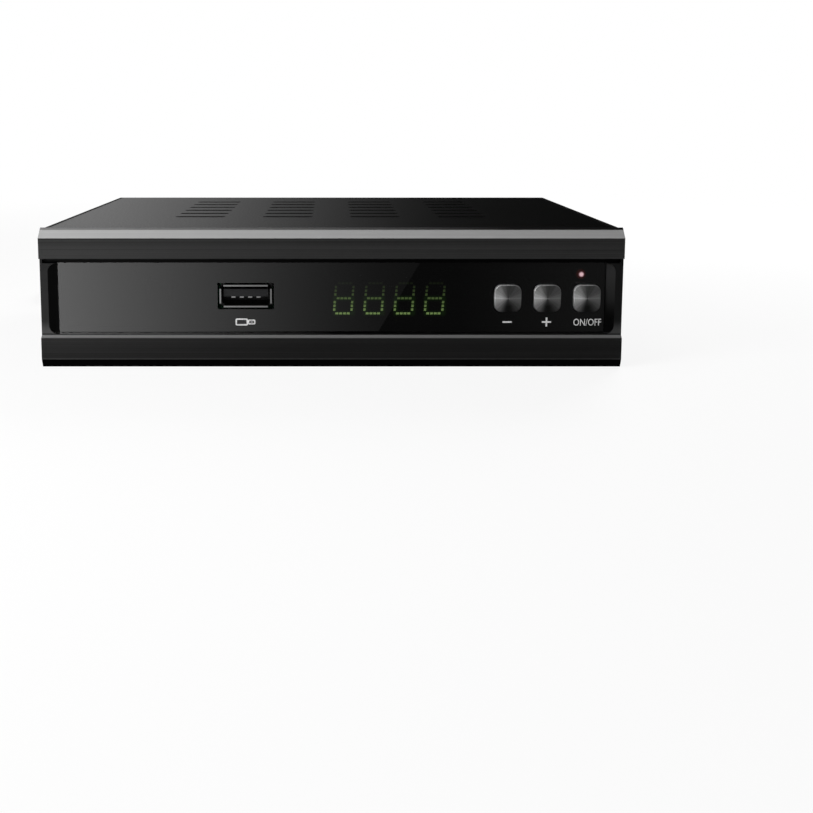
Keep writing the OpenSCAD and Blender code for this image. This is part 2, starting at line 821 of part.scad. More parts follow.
module cover_screws() {
    color("#3a3b3d")
        for (side = [-1, 1])
            translate([side * screw_x, y_rear, screw_z])
                cross_screw(screw_d, screw_l, screw_head_d, screw_head_h);
}

module bezel_section() {
    polygon([
        [foot_in, 0], [0, foot_h], [0, lower_z], [lip, lower_z + lip], [lip, groove_z1], [0, groove_z1],
        [0, case_h - strip_h], [cap_t, case_h], [cap_t, 0]
    ]);
}

// The window's recess: round corners, and a slope at each end down to the window
module window_recess() {
    intersection() {
        along_y(y_front - over, window_y0)
            translate([0, window_mid])
                rounded(2 * recess_x, window_h, recess_r);
        translate([0, 0, window_z0 - over])
            linear_extrude(window_h + 2 * over)
                polygon([
                    [-recess_x - over, y_front - over], [-recess_x, y_front + lip],
                    [-window_x, window_y0 + root], [window_x, window_y0 + root],
                    [recess_x, y_front + lip], [recess_x + over, y_front - over]
                ]);
    }
}

module front_bezel() {
    color("#3c3d40")
        difference() {
            union() {
                translate([-half_w, y_front, 0])
                    rotate([90, 0, 90])
                        linear_extrude(case_w)
                            bezel_section();
                along_y(y_front + cap_t - root, bezel_y1)
                    arch(2 * in_x, in_z, in_top, bend_r - sheet_t);
                difference() {
                    along_y(bezel_y1 - root, bezel_y1 + spigot_l)
                        arch(2 * in_x, in_z, in_top, bend_r - sheet_t);
                    box(
                        [-in_x + spigot_t, bezel_y1 - over, in_z + spigot_t],
                        [in_x - spigot_t, bezel_y1 + spigot_l + over, in_top - spigot_t]
                    );
                }
                for (side = [-1, 1], z = post_zs)
                    bar_y(side * post_x, z, bezel_y1 - root, front_board_y, post_d);
            }
            window_recess();
            box([-window_x, window_y0 - root, window_z0], [window_x, window_y1, groove_z1]);
            box(
                [-half_w + groove_end, y_front - over, window_z1],
                [half_w - groove_end, y_front + groove_in, groove_z1]
            );
            box([-open_x, window_y1 - over, open_z0], [open_x, bezel_y1 + over, open_z1]);
            for (side = [-1, 1], z = post_zs)
                bar_y(side * post_x, z, bezel_y1 + over, front_board_y + over, board_screw_d + screw_gap);
        }
}

module display_lens() {
    color("#17181a")
        difference() {
            box(
                [-window_x + window_gap, window_y0, window_z0 + window_gap],
                [window_x - window_gap, window_y1, window_z1]
            );
            along_y(window_y0 - over, window_y1 + over) {
                for (x = key_xs)
                    translate([x, row_z])
                        rounded(key_w + 2 * key_gap, key_h + 2 * key_gap, key_r + key_gap);
                translate([front_usb_x, row_z + front_usb_up])
                    square([usb_w + 2 * usb_reveal, usb_h + 2 * usb_reveal], center = true);
            }
        }
}

module key(x) {
    translate([x, 0, row_z]) {
        along_y(key_y0, collar_y1)
            rounded(key_w, key_h, key_r);
        along_y(collar_y0, collar_y1)
            rounded(key_w + 2 * key_collar, key_h + 2 * key_collar, key_r);
        bar_y(0, 0, collar_y1 - root, stem_y1, plunger_d);
    }
}

module channel_down_button() {
    color("#6f7073")
        key(key_xs[0]);
}

module channel_up_button() {
    color("#6f7073")
        key(key_xs[1]);
}

module power_button() {
    color("#6f7073")
        key(key_xs[2]);
}

module plunger(x) {
    color("#1c1c1e")
        bar_y(x, row_z, stem_y1, plunger_y1, plunger_d);
}

module channel_down_plunger() {
    plunger(key_xs[0]);
}

module channel_up_plunger() {
    plunger(key_xs[1]);
}

module power_plunger() {
    plunger(key_xs[2]);
}

module switch_bodies() {
    half = switch_w / 2;
    bottom = plunger_y1 + key_travel + plunger_spare;
    color("#b9bcc0")
        for (x = key_xs)
            difference() {
                box(
                    [x - half, switch_y0, row_z - half],
                    [x + half, front_board_y, row_z + half]
                );
                bar_y(x, row_z, switch_y0 - over, bottom, plunger_d + 2 * plunger_gap);
            }
}

module front_board() {
    z0 = in_z + front_board_gap;
    z1 = in_top - front_board_gap;
    hole_d = board_screw_d + 2 * screw_gap;
    color("#1f5a33")
        difference() {
            box(
                [-in_x + front_board_gap, front_board_y, z0],
                [in_x - front_board_gap, front_board_y1, z1]
            );
            for (side = [-1, 1], z = post_zs)
                bar_y(side * post_x, z, front_board_y - over, front_board_y1 + over, hole_d);
        }
}

module front_board_screws() {
    color("#a9abad")
        for (side = [-1, 1], z = post_zs)
            translate([side * post_x, front_board_y1, z])
                cross_screw(board_screw_d, board_screw_l, board_head_d, board_head_h);
}

module display_module() {
    w = display_w / 2;
    h = display_h / 2;
    color("#e9e9e4") {
        box(
            [display_x - w, behind_y, row_z - h],
            [display_x + w, behind_y + display_t, row_z + h]
        );
        box(
            [display_x - w + holder_in, behind_y + display_t - root, row_z - h + holder_in],
            [display_x + w - holder_in, front_board_y, row_z + h - holder_in]
        );
    }
}

module standby_led() {
    color("#d43a3a")
        translate([lamp_x, 0, lamp_z]) {
            translate([0, behind_y + lamp_d / 2, 0])
                sphere(d = lamp_d);
            bar_y(0, 0, behind_y + lamp_d / 2, behind_y + lamp_l, lamp_d);
            for (side = [-1, 1])
                bar_y(side * lamp_leg_span / 2, 0, behind_y + lamp_l - root, front_board_y, lamp_leg_d);
        }
}

module ir_receiver() {
    half = sensor_w / 2;
    color("#141416")
        translate([sensor_x, 0, row_z]) {
            box([-half, front_board_y - sensor_t, -half], [half, front_board_y, half]);
            translate([0, front_board_y - sensor_t, 0])
                sphere(d = sensor_w * sensor_dome_share);
        }
}

// A data socket whose mouth is at y = 0 and faces -Y, with its long side along X
module usb_shell(l) {
    difference() {
        box([-usb_w / 2, 0, -usb_h / 2], [usb_w / 2, l, usb_h / 2]);
        box(
            [-usb_w / 2 + shell_t, -over, -usb_h / 2 + shell_t],
            [usb_w / 2 - shell_t, l + over, usb_h / 2 - shell_t]
        );
        for (x = [-1, 1], z = [-1, 1])
            translate([x * usb_w / 2, 0, z * usb_h / 2])
                box([-shell_notch, -over, -shell_notch], [shell_notch, shell_notch_in, shell_notch]);
    }
}

module usb_tongue(l) {
    w = usb_w / 2 - shell_t;
    h = usb_h / 2 - shell_t;
    box([-w, l - tongue_block, -h], [w, l, h]);
    box(
        [-tongue_w / 2, tongue_in, tongue_up - tongue_t / 2],
        [tongue_w / 2, l - tongue_block + root, tongue_up + tongue_t / 2]
    );
}

module usb_contacts(l) {
    z = tongue_up - tongue_t / 2;
    for (i = [0 : usb_pin_count - 1])
        translate([(i - (usb_pin_count - 1) / 2) * usb_pin_pitch, 0, 0])
            box([-usb_pin_w / 2, tongue_in, z - usb_pin_t], [usb_pin_w / 2, l - tongue_block, z]);
}

module at_front_usb() {
    translate([front_usb_x, window_y0 - fit, row_z + front_usb_up])
        children();
}

module at_rear_usb() {
    translate([usb_x, socket_y1, usb_z])
        rotate([0, 90, 180])
            children();
}

module front_usb_shell() {
    color("#b4b7ba")
        at_front_usb()
            usb_shell(front_usb_l);
}

module front_usb_tongue() {
    color("#1a1a1c")
        at_front_usb()
            usb_tongue(front_usb_l);
}

module front_usb_contacts() {
    color("#c2c4c6")
        at_front_usb()
            usb_contacts(front_usb_l);
}

// Plug that joins the front board to the main board
module board_connector() {
    color("#e6e2d6")
        box(
            [-connector_w / 2, front_board_y1, board_top],
            [connector_w / 2, board_y0 + connector_in, board_top + connector_h]
        );
}

module main_board() {
    color("#1f5a33")
        difference() {
            box([-board_x, board_y0, board_z], [board_x, board_y1, board_top]);
            for (p = pillars)
                translate([p.x, p.y, board_z - over])
                    cylinder(d = board_screw_d + 2 * screw_gap, h = board_t + 2 * over);
        }
}

module board_pillars() {
    color("#c4b27a")
        for (p = pillars)
            translate([p.x, p.y, sheet_t])
                difference() {
                    cylinder(d = pillar_d, h = pillar_h);
                    translate([0, 0, over])
                        cylinder(d = board_screw_d + screw_gap, h = pillar_h);
                }
}

module board_screws() {
    color("#a9abad")
        for (p = pillars)
            translate([p.x, p.y, board_top])
                rotate([90, 0, 0])
                    cross_screw(board_screw_d, board_screw_l, board_head_d, board_head_h);
}

module processor() {
    half = chip_w / 2;
    color("#222224")
        translate([chip_at.x, chip_at.y, board_top])
            box([-half, -half, 0], [half, half, chip_h]);
}

module heatsink() {
    half = sink_w / 2;
    color("#9ea2a6")
        translate([chip_at.x, chip_at.y, board_top + chip_h]) {
            box([-half, -half, 0], [half, half, sink_base_t]);
            for (i = [0 : sink_fins - 1])
                translate([(sink_w - fin_t) * (i / (sink_fins - 1) - 0.5), 0, 0])
                    box([-fin_t / 2, -half, sink_base_t - root], [fin_t / 2, half, sink_h]);
        }
}

module board_capacitors() {
    color("#2d3550")
        for (p = small_caps)
            translate([p.x, board_y0 + p.y, board_top])
                cylinder(d = small_cap_d, h = small_cap_h);
}

module tuner_can() {
    color("#b9bcbe")
        box(
            [antenna_x - tuner_w / 2, tuner_y1 - tuner_l, board_top],
            [antenna_x + tuner_w / 2, tuner_y1, board_top + tuner_h]
        );
}

module antenna_sleeve() {
    color("#c6c8ca")
        difference() {
            bar_y(antenna_x, antenna_z, tuner_y1, y_rear + antenna_out, antenna_d);
            bar_y(antenna_x, antenna_z, tuner_y1 - over, y_rear + antenna_out + over, antenna_bore);
        }
}

module antenna_insulator() {
    y1 = tuner_y1 + insulator_t;
    color("#56585a")
        difference() {
            bar_y(antenna_x, antenna_z, tuner_y1, y1, antenna_bore - 2 * press_gap);
            bar_y(antenna_x, antenna_z, tuner_y1 - over, y1 + over, contact_d + 2 * press_gap);
        }
}

module antenna_contact() {
    y1 = y_rear + antenna_out - contact_in;
    color("#c2c4c6")
        difference() {
            bar_y(antenna_x, antenna_z, tuner_y1, y1, contact_d);
            bar_y(antenna_x, antenna_z, tuner_y1 + over, y1 + over, contact_bore);
        }
}

module coax_base() {
    half = coax_base_w / 2;
    color("#1a1a1c")
        box(
            [coax_x - half, coax_y0 - coax_base_l, board_top],
            [coax_x + half, coax_y0, board_top + coax_base_h]
        );
}

module coax_barrel() {
    color("#c6c8ca")
        difference() {
            union() {
                bar_y(coax_x, coax_z, coax_y0, y_rear + root, coax_root_d);
                bar_y(coax_x, coax_z, y_rear, coax_y1, coax_d);
            }
            bar_y(coax_x, coax_z, coax_y0 - over, coax_y1 + over, coax_d - 2 * coax_wall);
        }
}

module coax_insulator() {
    color("#56585a")
        difference() {
            bar_y(coax_x, coax_z, coax_y0, coax_y1 - coax_in, coax_d - 2 * coax_wall - 2 * press_gap);
            bar_y(coax_x, coax_z, coax_y0 - over, coax_y1, coax_contact_d + 2 * press_gap);
            bar_y(coax_x, coax_z, coax_y0 + coax_contact_l, coax_y1 + over, coax_bore);
        }
}

module coax_contact() {
    color("#c2c4c6")
        bar_y(coax_x, coax_z, coax_y0, coax_y0 + coax_contact_l, coax_contact_d);
}

// Solder tabs between a socket's shell and the board
module shell_tabs(x, half_span, y0, shell_bottom) {
    for (side = [-1, 1])
        translate([x + side * half_span, y0, 0])
            box([-tab_t / 2, 0, board_top], [tab_t / 2, tab_l, shell_bottom + shell_t / 2]);
}

module rear_usb_shell() {
    color("#b4b7ba") {
        at_rear_usb()
            usb_shell(usb_l);
        shell_tabs(usb_x, (usb_h - tab_t) / 2, socket_y1 - usb_l, usb_z - usb_w / 2);
    }
}

module rear_usb_tongue() {
    color("#1a1a1c")
        at_rear_usb()
            usb_tongue(usb_l);
}

module rear_usb_contacts() {
    color("#c2c4c6")
        at_rear_usb()
            usb_contacts(usb_l);
}

module hdmi_shell() {
    color("#b4b7ba") {
        along_y(socket_y1 - hdmi_l, socket_y1)
            translate([hdmi_x, hdmi_z])
                difference() {
                    polygon(hdmi_points(0));
                    polygon(hdmi_points(-shell_t));
                }
        shell_tabs(hdmi_x, hdmi_w / 2 - hdmi_cut - tab_t, socket_y1 - hdmi_l, hdmi_z - hdmi_h / 2);
    }
}

module hdmi_tongue() {
    y0 = socket_y1 - hdmi_l;
    color("#1a1a1c") {
        along_y(y0, y0 + tongue_block)
            translate([hdmi_x, hdmi_z])
                polygon(hdmi_points(-shell_t));
        translate([hdmi_x, 0, hdmi_z])
            box(
                [-hdmi_tongue_w / 2, y0 + tongue_block - root, -hdmi_tongue_t / 2],
                [hdmi_tongue_w / 2, socket_y1 - tongue_in, hdmi_tongue_t / 2]
            );
    }
}

module scart_shell() {
    foot_x = scart_w / 2 - scart_r - scart_slant;
    color("#3a3b3d") {
        translate([scart_x, 0, scart_z])
            difference() {
                along_y(scart_y0, scart_y1)
                    scart_outline(0);
                along_y(scart_y1 - scart_depth, scart_y1 + over)
                    scart_outline(-scart_wall);
            }
        box(
            [scart_x - foot_x, scart_y0, board_top],
            [scart_x + foot_x, panel_y0 - board_back_gap, scart_z - scart_h / 2 + scart_wall / 2]
        );
    }
}

// Middle of pole i in a row: 0 is the upper row and 1 the lower one, which is half a pitch further along
function pole_at(row, i) = [
    scart_x + pole_pitch * ((pole_count - 1) / 2 - i - row / 2),
    scart_z + pole_rows * (0.5 - row)
];

module scart_insert() {
    w = scart_w / 2 - scart_wall - scart_gap;
    h = scart_h / 2 - scart_wall - scart_gap;
    y1 = scart_y1 - scart_block_in;
    color("#4a4b4e")
        difference() {
            along_y(scart_y1 - scart_depth, y1)
                translate([scart_x, scart_z])
                    polygon([[-w, h], [w, h], [w - scart_slant, 0], [w - scart_slant, -h], [-w, -h]]);
            for (row = [0, 1], i = [0 : pole_count - 1])
                translate([pole_at(row, i).x, 0, pole_at(row, i).y])
                    box([-pole_w / 2, y1 - pole_depth, -pole_h / 2], [pole_w / 2, y1 + over, pole_h / 2]);
        }
}

module scart_contacts() {
    y0 = scart_y1 - scart_block_in - pole_depth;
    color("#c9a548")
        for (row = [0, 1], i = [0 : pole_count - 1])
            translate([pole_at(row, i).x, 0, pole_at(row, i).y])
                box(
                    [-pole_pin_t / 2, y0, -pole_pin_h / 2],
                    [pole_pin_t / 2, y0 + pole_pin_l, pole_pin_h / 2]
                );
}

module transformer_core() {
    w = trafo_w / 2;
    l = trafo_core_l / 2;
    color("#4c4c50")
        translate([trafo_at.x, trafo_at.y, board_top + trafo_base_t])
            difference() {
                box([-w, -l, 0], [w, l, trafo_h]);
                box([-w + trafo_leg, -l - over, -over], [w - trafo_leg, l + over, trafo_h - trafo_leg]);
            }
}

module transformer_bobbin() {
    w = trafo_w / 2 - trafo_leg - trafo_gap;
    color("#d9c24a")
        translate([trafo_at.x, trafo_at.y, board_top]) {
            box([-trafo_w / 2, -trafo_w / 2, 0], [trafo_w / 2, trafo_w / 2, trafo_base_t]);
            box(
                [-w, -trafo_w / 2, trafo_base_t - root],
                [w, trafo_w / 2, trafo_base_t + trafo_h - trafo_leg - trafo_gap]
            );
        }
}

module mains_capacitor() {
    color("#2d3550")
        translate([mains_cap_at.x, mains_cap_at.y, board_top])
            cylinder(d = mains_cap_d, h = mains_cap_h);
}

module mains_fuse() {
    color("#c8ccd0")
        bar_y(fuse_at.x, board_top + fuse_d / 2, fuse_at.y, fuse_at.y + fuse_l, fuse_d);
}

module mains_connector() {
    color("#e6e2d6")
        translate([cord_x - mains_block.x / 2, mains_block_y - mains_block.y / 2, board_top])
            cube(mains_block);
}

module mains_wires() {
    y0 = panel_y0 - bushing_in - core_gap;
    top = board_top + mains_block.z + core_gap;
    color("#6a3a22")
        for (side = [-1, 1]) {
            x = cord_x + side * core_span / 2;
            tube(curve([
                [x, y0, cord_z], [x, y0 - core_d, cord_z], [x, y0 - core_bend, cord_z - core_d / 2],
                [x, mains_block_y + core_d, top + core_bend / 2], [x, mains_block_y, top + core_d],
                [x, mains_block_y, top]
            ], lead_steps), [1, 0, 0], core_d, cord_sides);
        }
}

module cord_bushing() {
    w = bushing_w / 2;
    neck = w - bushing_groove;
    z0 = bushing_top - bushing_h;
    color("#202124")
        translate([cord_x, 0, 0]) {
            box([-w, panel_y1, z0], [w, sleeve_y0, bushing_top]);
            box([-neck, panel_y0 - root, z0 + bushing_groove], [neck, panel_y1 + root, bushing_top]);
            box([-w, panel_y0 - bushing_in, z0], [w, panel_y0, bushing_top]);
        }
}

// Profile of the sleeve: a taper with ring grooves, from its root to its tip
function sleeve_r(share) = (sleeve_d + (sleeve_tip_d - sleeve_d) * share) / 2;
function sleeve_profile() = concat(
    [[0, 0], [sleeve_r(0), 0]],
    [
        for (i = [0 : sleeve_grooves - 1])
            let (
                half = sleeve_groove_share / 2,
                steps = sleeve_grooves + 1 - half,
                a = (i + 1 - half) / steps,
                b = (i + 1 + half) / steps
            )
            each [
                [sleeve_r(a), a * sleeve_l], [sleeve_r(a) - sleeve_groove_in, a * sleeve_l],
                [sleeve_r(b) - sleeve_groove_in, b * sleeve_l], [sleeve_r(b), b * sleeve_l]
            ]
    ],
    [[sleeve_r(1), sleeve_l], [0, sleeve_l]]
);

module strain_relief() {
    color("#202124")
        translate([cord_x, sleeve_y0, cord_z])
            rotate([-90, 0, 0])
                rotate_extrude()
                    polygon(sleeve_profile());
}

module mains_lead() {
    color("#242528")
        tube(lead_path, lead_up, cord_d, cord_sides);
}

module lead_coil() {
    color("#242528")
        tube(coil_path, [0, 0, 1], cord_d, coil_sides);
}

module lead_tail() {
    color("#242528")
        tube(tail_path, [0, 0, 1], cord_d, cord_sides);
}

module coil_tie() {
    room = cord_d / 2 + tie_room;
    x0 = coil_in_r - coil_dip - room;
    x1 = coil_out_r + room;
    z1 = coil_z + turn_pitch + room;
    color("#d8d8d4")
        translate(lead_start + coil_at)
            difference() {
                box([x0 - tie_t, -tie_w / 2, 0], [x1 + tie_t, tie_w / 2, z1 + tie_t]);
                box([x0, -tie_w / 2 - over, tie_t], [x1, tie_w / 2 + over, z1]);
            }
}

module plug_body() {
    nose = plug_l - plug_nose_l;
    color("#242528")
        translate(plug_entry)
            hull() {
                box([0, -plug_tail_w / 2, -plug_tail_h / 2], [root, plug_tail_w / 2, plug_tail_h / 2]);
                for (x = [nose + plug_r, plug_l - plug_r], side = [-1, 1])
                    translate([x, side * (plug_w / 2 - plug_r), -plug_h / 2])
                        cylinder(r = plug_r, h = plug_h, $fn = hull_sides);
            }
}

module plug_pins() {
    color("#c6c8ca")
        for (side = [-1, 1])
            translate(plug_entry + [plug_l, side * pin_span / 2, 0])
                rotate([0, 90, 0])
                    cylinder(d = pin_d, h = pin_l);
}

top_cover();
base_tray();
rear_panel();
cover_screws();
front_bezel();
display_lens();
channel_down_button();
channel_up_button();
power_button();
channel_down_plunger();
channel_up_plunger();
power_plunger();
switch_bodies();
front_board();
front_board_screws();
display_module();
standby_led();
ir_receiver();
front_usb_shell();
front_usb_tongue();
front_usb_contacts();
board_connector();
main_board();
board_pillars();
board_screws();
processor();
heatsink();
board_capacitors();
tuner_can();
antenna_sleeve();
antenna_insulator();
antenna_contact();
coax_base();
coax_barrel();
coax_insulator();
coax_contact();
rear_usb_shell();
rear_usb_tongue();
rear_usb_contacts();
hdmi_shell();
hdmi_tongue();
scart_shell();
scart_insert();
scart_contacts();
transformer_core();
transformer_bobbin();
mains_capacitor();
mains_fuse();
mains_connector();
mains_wires();
cord_bushing();
strain_relief();
mains_lead();
lead_coil();
lead_tail();
coil_tie();
plug_body();
plug_pins();
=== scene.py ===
"""Looks of a terrestrial television receiver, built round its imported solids.

Lengths are written in millimetres and multiplied by MM. The frame is that of the solids: +X to the
right of the front, the front faces -Y, +Z is up, and the part stands on z = 0.
"""
import json
import math

import bmesh
import bpy
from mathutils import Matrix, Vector

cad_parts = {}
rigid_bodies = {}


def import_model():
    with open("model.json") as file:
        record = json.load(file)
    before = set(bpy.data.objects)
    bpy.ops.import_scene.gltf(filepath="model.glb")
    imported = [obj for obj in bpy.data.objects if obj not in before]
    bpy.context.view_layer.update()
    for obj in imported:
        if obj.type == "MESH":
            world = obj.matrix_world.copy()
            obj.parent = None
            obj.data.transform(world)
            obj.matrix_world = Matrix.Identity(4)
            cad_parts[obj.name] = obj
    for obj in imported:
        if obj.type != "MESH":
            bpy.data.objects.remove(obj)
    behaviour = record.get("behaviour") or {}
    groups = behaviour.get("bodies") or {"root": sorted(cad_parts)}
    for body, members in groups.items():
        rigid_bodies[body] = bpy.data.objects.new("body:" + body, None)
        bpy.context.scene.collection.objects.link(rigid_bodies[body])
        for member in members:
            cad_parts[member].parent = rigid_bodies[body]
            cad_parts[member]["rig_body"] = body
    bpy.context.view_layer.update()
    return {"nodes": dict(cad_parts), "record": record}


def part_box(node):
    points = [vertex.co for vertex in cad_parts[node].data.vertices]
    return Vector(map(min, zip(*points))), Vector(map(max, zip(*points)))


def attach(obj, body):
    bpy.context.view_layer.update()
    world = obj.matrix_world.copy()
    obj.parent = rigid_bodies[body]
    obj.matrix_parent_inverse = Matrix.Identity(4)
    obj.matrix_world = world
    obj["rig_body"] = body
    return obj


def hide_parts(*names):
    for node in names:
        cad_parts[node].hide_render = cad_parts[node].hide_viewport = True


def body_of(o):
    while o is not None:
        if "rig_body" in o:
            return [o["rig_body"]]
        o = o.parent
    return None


MM = 0.001
WHITE = (1.0, 1.0, 1.0, 1.0)
SQUARE = ((-1, -1), (1, -1), (1, 1), (-1, 1))

# Camera: where it stands, how far it looks down, its lens, its shift and where its view begins
CAMERA_AT = (0.01, -286.84, 63.0)
CAMERA_DOWN = 6.633
CAMERA_LENS = 43.216
CAMERA_SENSOR = 36.0
CAMERA_SHIFT = (0.0922, -0.22)
CAMERA_NEAR = 5.0

# Lights: place, target, width and height, watts; and the one that no surface mirrors
LIGHTS = {
    "key": ((-260, -200, 180), (-20, -40, 15), (160, 160), 0.9),
    "top": ((-160, -100, 420), (-20, 0, 0), (200, 300), 0.45),
    "rear": ((300, 420, 300), (0, 40, 15), (250, 250), 2.9),
}
HIDDEN_LIGHT = "rear"
SOFT_LIGHT = 0.13

# Floor: its reach, its drop under the part, how far out its shading gives way to plain white, and
# the line before which no surface mirrors it
FLOOR_REACH = 4000.0
FLOOR_DROP = 0.1
FLOOR_SHADE = (140.0, 500.0)
FLOOR_PLAIN = 0.86
FLOOR_MIRRORED = (-38.0, -40.0)

# Card before the window: its corners, its fade to the right, and its most and least light
CARD_Y = -80.0
CARD_CORNERS = [(-110, -3), (11.2, -3), (27.7, 25), (-110, 25)]
CARD_FADE = (-78.0, 28.0)
CARD_LIGHT = 2.7
CARD_LEAST = 0.15

# Mains lead: its route from the end of the sleeve, relative to that end
CORD_D = 3.2
CORD_X = -61.4075
CORD_Z = 26.4
CORD_FACETS = 4
BUSHING_Y = 43.5
SLEEVE_Y = 63.5
LEAD_ROUTE = [
    (0, 5, 26.4), (-0.9, 11, 25.2), (-3.2, 15.4, 21.5), (-6.5, 17, 16.5), (-9.7, 15.4, 11.4),
    (-12, 11, 7.7), (-13, 5, 5.8), (-13.3, -2, 4), (-13.3, -9, 2.4), (-13.2, -16, 1.8),
    (-14.8, -22, 1.7), (-19.2, -26.4, 1.7), (-25.2, -28, 1.7), (-31.2, -26.4, 1.7),
    (-35.6, -22, 1.7), (-37.2, -16, 1.7), (-37.4, -8, 1.7), (-35.8, -1, 1.7),
    (-31.2, 4.6, 1.7), (-24.4, 7.7, 1.7), (-17.8, 10.6, 1.8), (-13.2, 16.2, 2),
]
TAIL_ROUTE = [(38, 48.4, 5.2), (45, 43.6, 4.6), (52, 38.6, 4.6), (58, 35.5, 5.8)]
PLUG_AT = (65.4, 34.5, 6.85)
ROUTE_STEPS = 6
END_RUN = 4.0

# Wound lead: two layers of turns, the climb between them, the strap round them and its lapped end
COIL_AT = (15.4, 30.5, 0)
COIL_IN_R = 12.4
COIL_Z = 2.15
COIL_STEPS = 48
TURN_PITCH = 3.7
LAYER_TURNS = 3.9167
CLIMB_TURNS = 0.5
ALL_TURNS = 2.0 * LAYER_TURNS + CLIMB_TURNS
STRAP_T = 0.5
STRAP_GAP = 0.05
STRAP_STEPS = 60
STRAP_EDGE = 0.12
LAP_START = 0.3
LAP_SHARE = 0.62
LAP_SINK = 0.05
LAP_R = 0.2
LEVEL_ROOM = 0.01

# Rounding: the plug's mesh, the pins and the keys, the distance that counts as one point, and the
# angles that count as flat and as sharp
PLUG_MESH = 0.45
PLUG_ROUNDS = 14
PIN_ROUND = 1.2
PIN_STEPS = 3
KEY_ROUND = 0.35
KEY_STEPS = 2
SAME_POINT = 0.001
FLAT_ANGLE = 0.5
SHARP_ANGLE = 35.0

# Plug pins: the length of the sleeve on each, and half the blur at its end
PIN_SLEEVE = 10.0
SLEEVE_SOFT = 0.1

# Cover: where the dull band along a fold starts and is full, in from the side
FOLD_BAND = (2.5, 1.8)

# Front: the heights between which it is set back round the window, and the edge of its foot with
# its painted highlight line
WINDOW_LOW = 8.4
WINDOW_TOP = 27.4
POST_SOFT = (0.1, -0.2)
FOOT_TOP = 2.1
PAINTED_FOOT_HIGHLIGHT = (0.3, 0.1)

# Front: where its colours and its painted light and shade change; a pair gives where one ends and
# where the next is full
BAND_SPLIT = (12.0, 11.0)
LIP_Z = 7.79
PAINTED_LIP_HIGHLIGHT = (0.42, 0.20)
STRIP_TOP = 34.45
STRIP_SOFT = 0.05
PAINTED_RIM_FADE = (-65.0, 45.0)
PAINTED_LEDGE_FADE = (0.0, -40.0)
WALL_SHADE = (13.0, 24.0)
PAINTED_POST_SHEEN = (12.0, 8.8)
CORNER_SHADE = (17.0, 12.5)
DEEP_FACE = (-46.9, -46.5)

# Keys: how fine the rings and the rays are, and where each part of the painted sheen changes
KEY_RINGS = 9000.0
KEY_RAYS = 5.0
KEY_HALVES = (-0.4, 0.4)
KEY_LIGHT = (-1.6, 0.6)
KEY_DARK = (0.6, 2.0)
KEY_RIM = (-2.0, 3.0)

# Sockets: how bright a shell or contact is round its mouth, and where the painted shade inside
# starts and is full
FRONT_GLEAM = {"front_usb_shell": 0.22}
REAR_GLEAM = {"rear_usb_shell": 0.5, "antenna_contact": 0.2, "coax_contact": 0.5}
MOUTH_DEPTH = (0.3, 1.4)

# Prints: thickness, lines, letters, round corners and what counts as one point
INK_T = 0.04
LINE_W = 0.34
CAP_SHARE = 0.72
LETTER_STEPS = 4
ARC_STEPS = 5
HALF_BOX = 2 * (ARC_STEPS + 1)
JOIN_ROOM = 0.0005

# Rear print: its frames are (right, left, top, number) and its zones (right, left, low, high)
FRAME_FOOT = 6.6
BAR_TOP = 10.3
FRAME_R = 1.1
REAR_FRAMES = [
    (64.07, 49.86, 26.0, "1"), (47.95, 35.4, 26.0, "2"), (33.88, 22.9, 27.7, "3"),
    (20.2, 0.53, 19.9, "4"), (-0.92, -51.9, 30.9, "5"),
]
REAR_TEXT_H = 2.1
PLATE = (22.5, -0.29, 21.9, 30.6)
PLATE_R = 0.5
WAVE_ZONE = (-52.5, -64.5, 12.0, 18.2)
WAVE_Z = 14.0
WAVE_H = 2.4
CORNER_ZONE = (-49.0, -62.7, 0.9, 8.2)
BUSHING_ZONE = (-56.4, -66.4, 20.8, 33.0)
ZONE_ROOM = 0.3
EAR_X = 67.3
EAR_Z = 9.2
EAR_R = 3.9
DOT_R = 0.4
DOT_SOFT = 0.04
DOT_FIRST = (68.92, 30.52)
DOT_PITCH = (1.81, 1.9455)

# Front print: the signs of the keys, and that of the socket as (left, right, half its height)
FRONT_TEXT_H = 1.8
FRONT_TEXT_Z = 11.05
POWER_TEXT_X = 0.35
POWER_TEXT_NARROW = 0.78
SIGN_W = 2.3
SIGN_LINE = 0.42
PLUG_SIGN = [(-2.6, 0.5, 0.9), (0.5, 2.4, 0.62)]
PLUG_SIGN_R = 0.35
PLUG_HOLE = (1.15, 1.75, 0.14)
PLUG_HOLE_Z = 0.3
PLUG_HOLE_R = 0.06

# Display: the digits' middles, the reach of their strokes from a middle, and their slant
DIGIT_XS = (3.1, 10.75, 18.4, 26.05)
DIGIT_Z = 16.87
DIGIT_HALF_W = 2.2
DIGIT_HALF_H = 3.88
DIGIT_SLANT = 0.08
DIGIT_T = 0.1

# Display: half the width and height of a dash in a level and in an upright stroke
DASH_PITCH = 0.95
LEVEL_DASH = (0.36, 0.248)
UPRIGHT_DASH = (0.279, 0.30)
LEVEL_DASHES = 4
UPRIGHT_DASHES = 3

# Display: its light at the foot, further up and at the top, and the faint glow painted round the
# strokes
GLOW_FOOT = (0.68, 1.0, 0.30, 1.0)
GLOW_UP = (0.14, 0.22, 0.06, 1.0)
GLOW_RISE = (12.6, 18.1)
GLOW_TOP_SHARE = 0.1
GLOW_LIGHT = 4.4
HALO_COLOUR = (0.05, 0.20, 0.01, 1.0)
HALO_REACH = 1.0
HALO_LIGHT = 0.7

# Lamp: from its middle to the edge of the hot spot and of its light, and how deep its tip is lit
LAMP_HEAT = (0.78, 0.273)
LAMP_HALO = (1.45, 0.5)
LAMP_TIP = (2.0, 1.0)

# Noise: the range of nearly all of its values, the share of the first of two that are laid over
# each other, a cloud's size in grains, and the spread of roughness either way
NOISE_RANGE = (0.3, 0.7)
MAIN_SHARE = 0.6
CLOUD_GRAINS = 22
ROUGH_SPREAD = 0.06

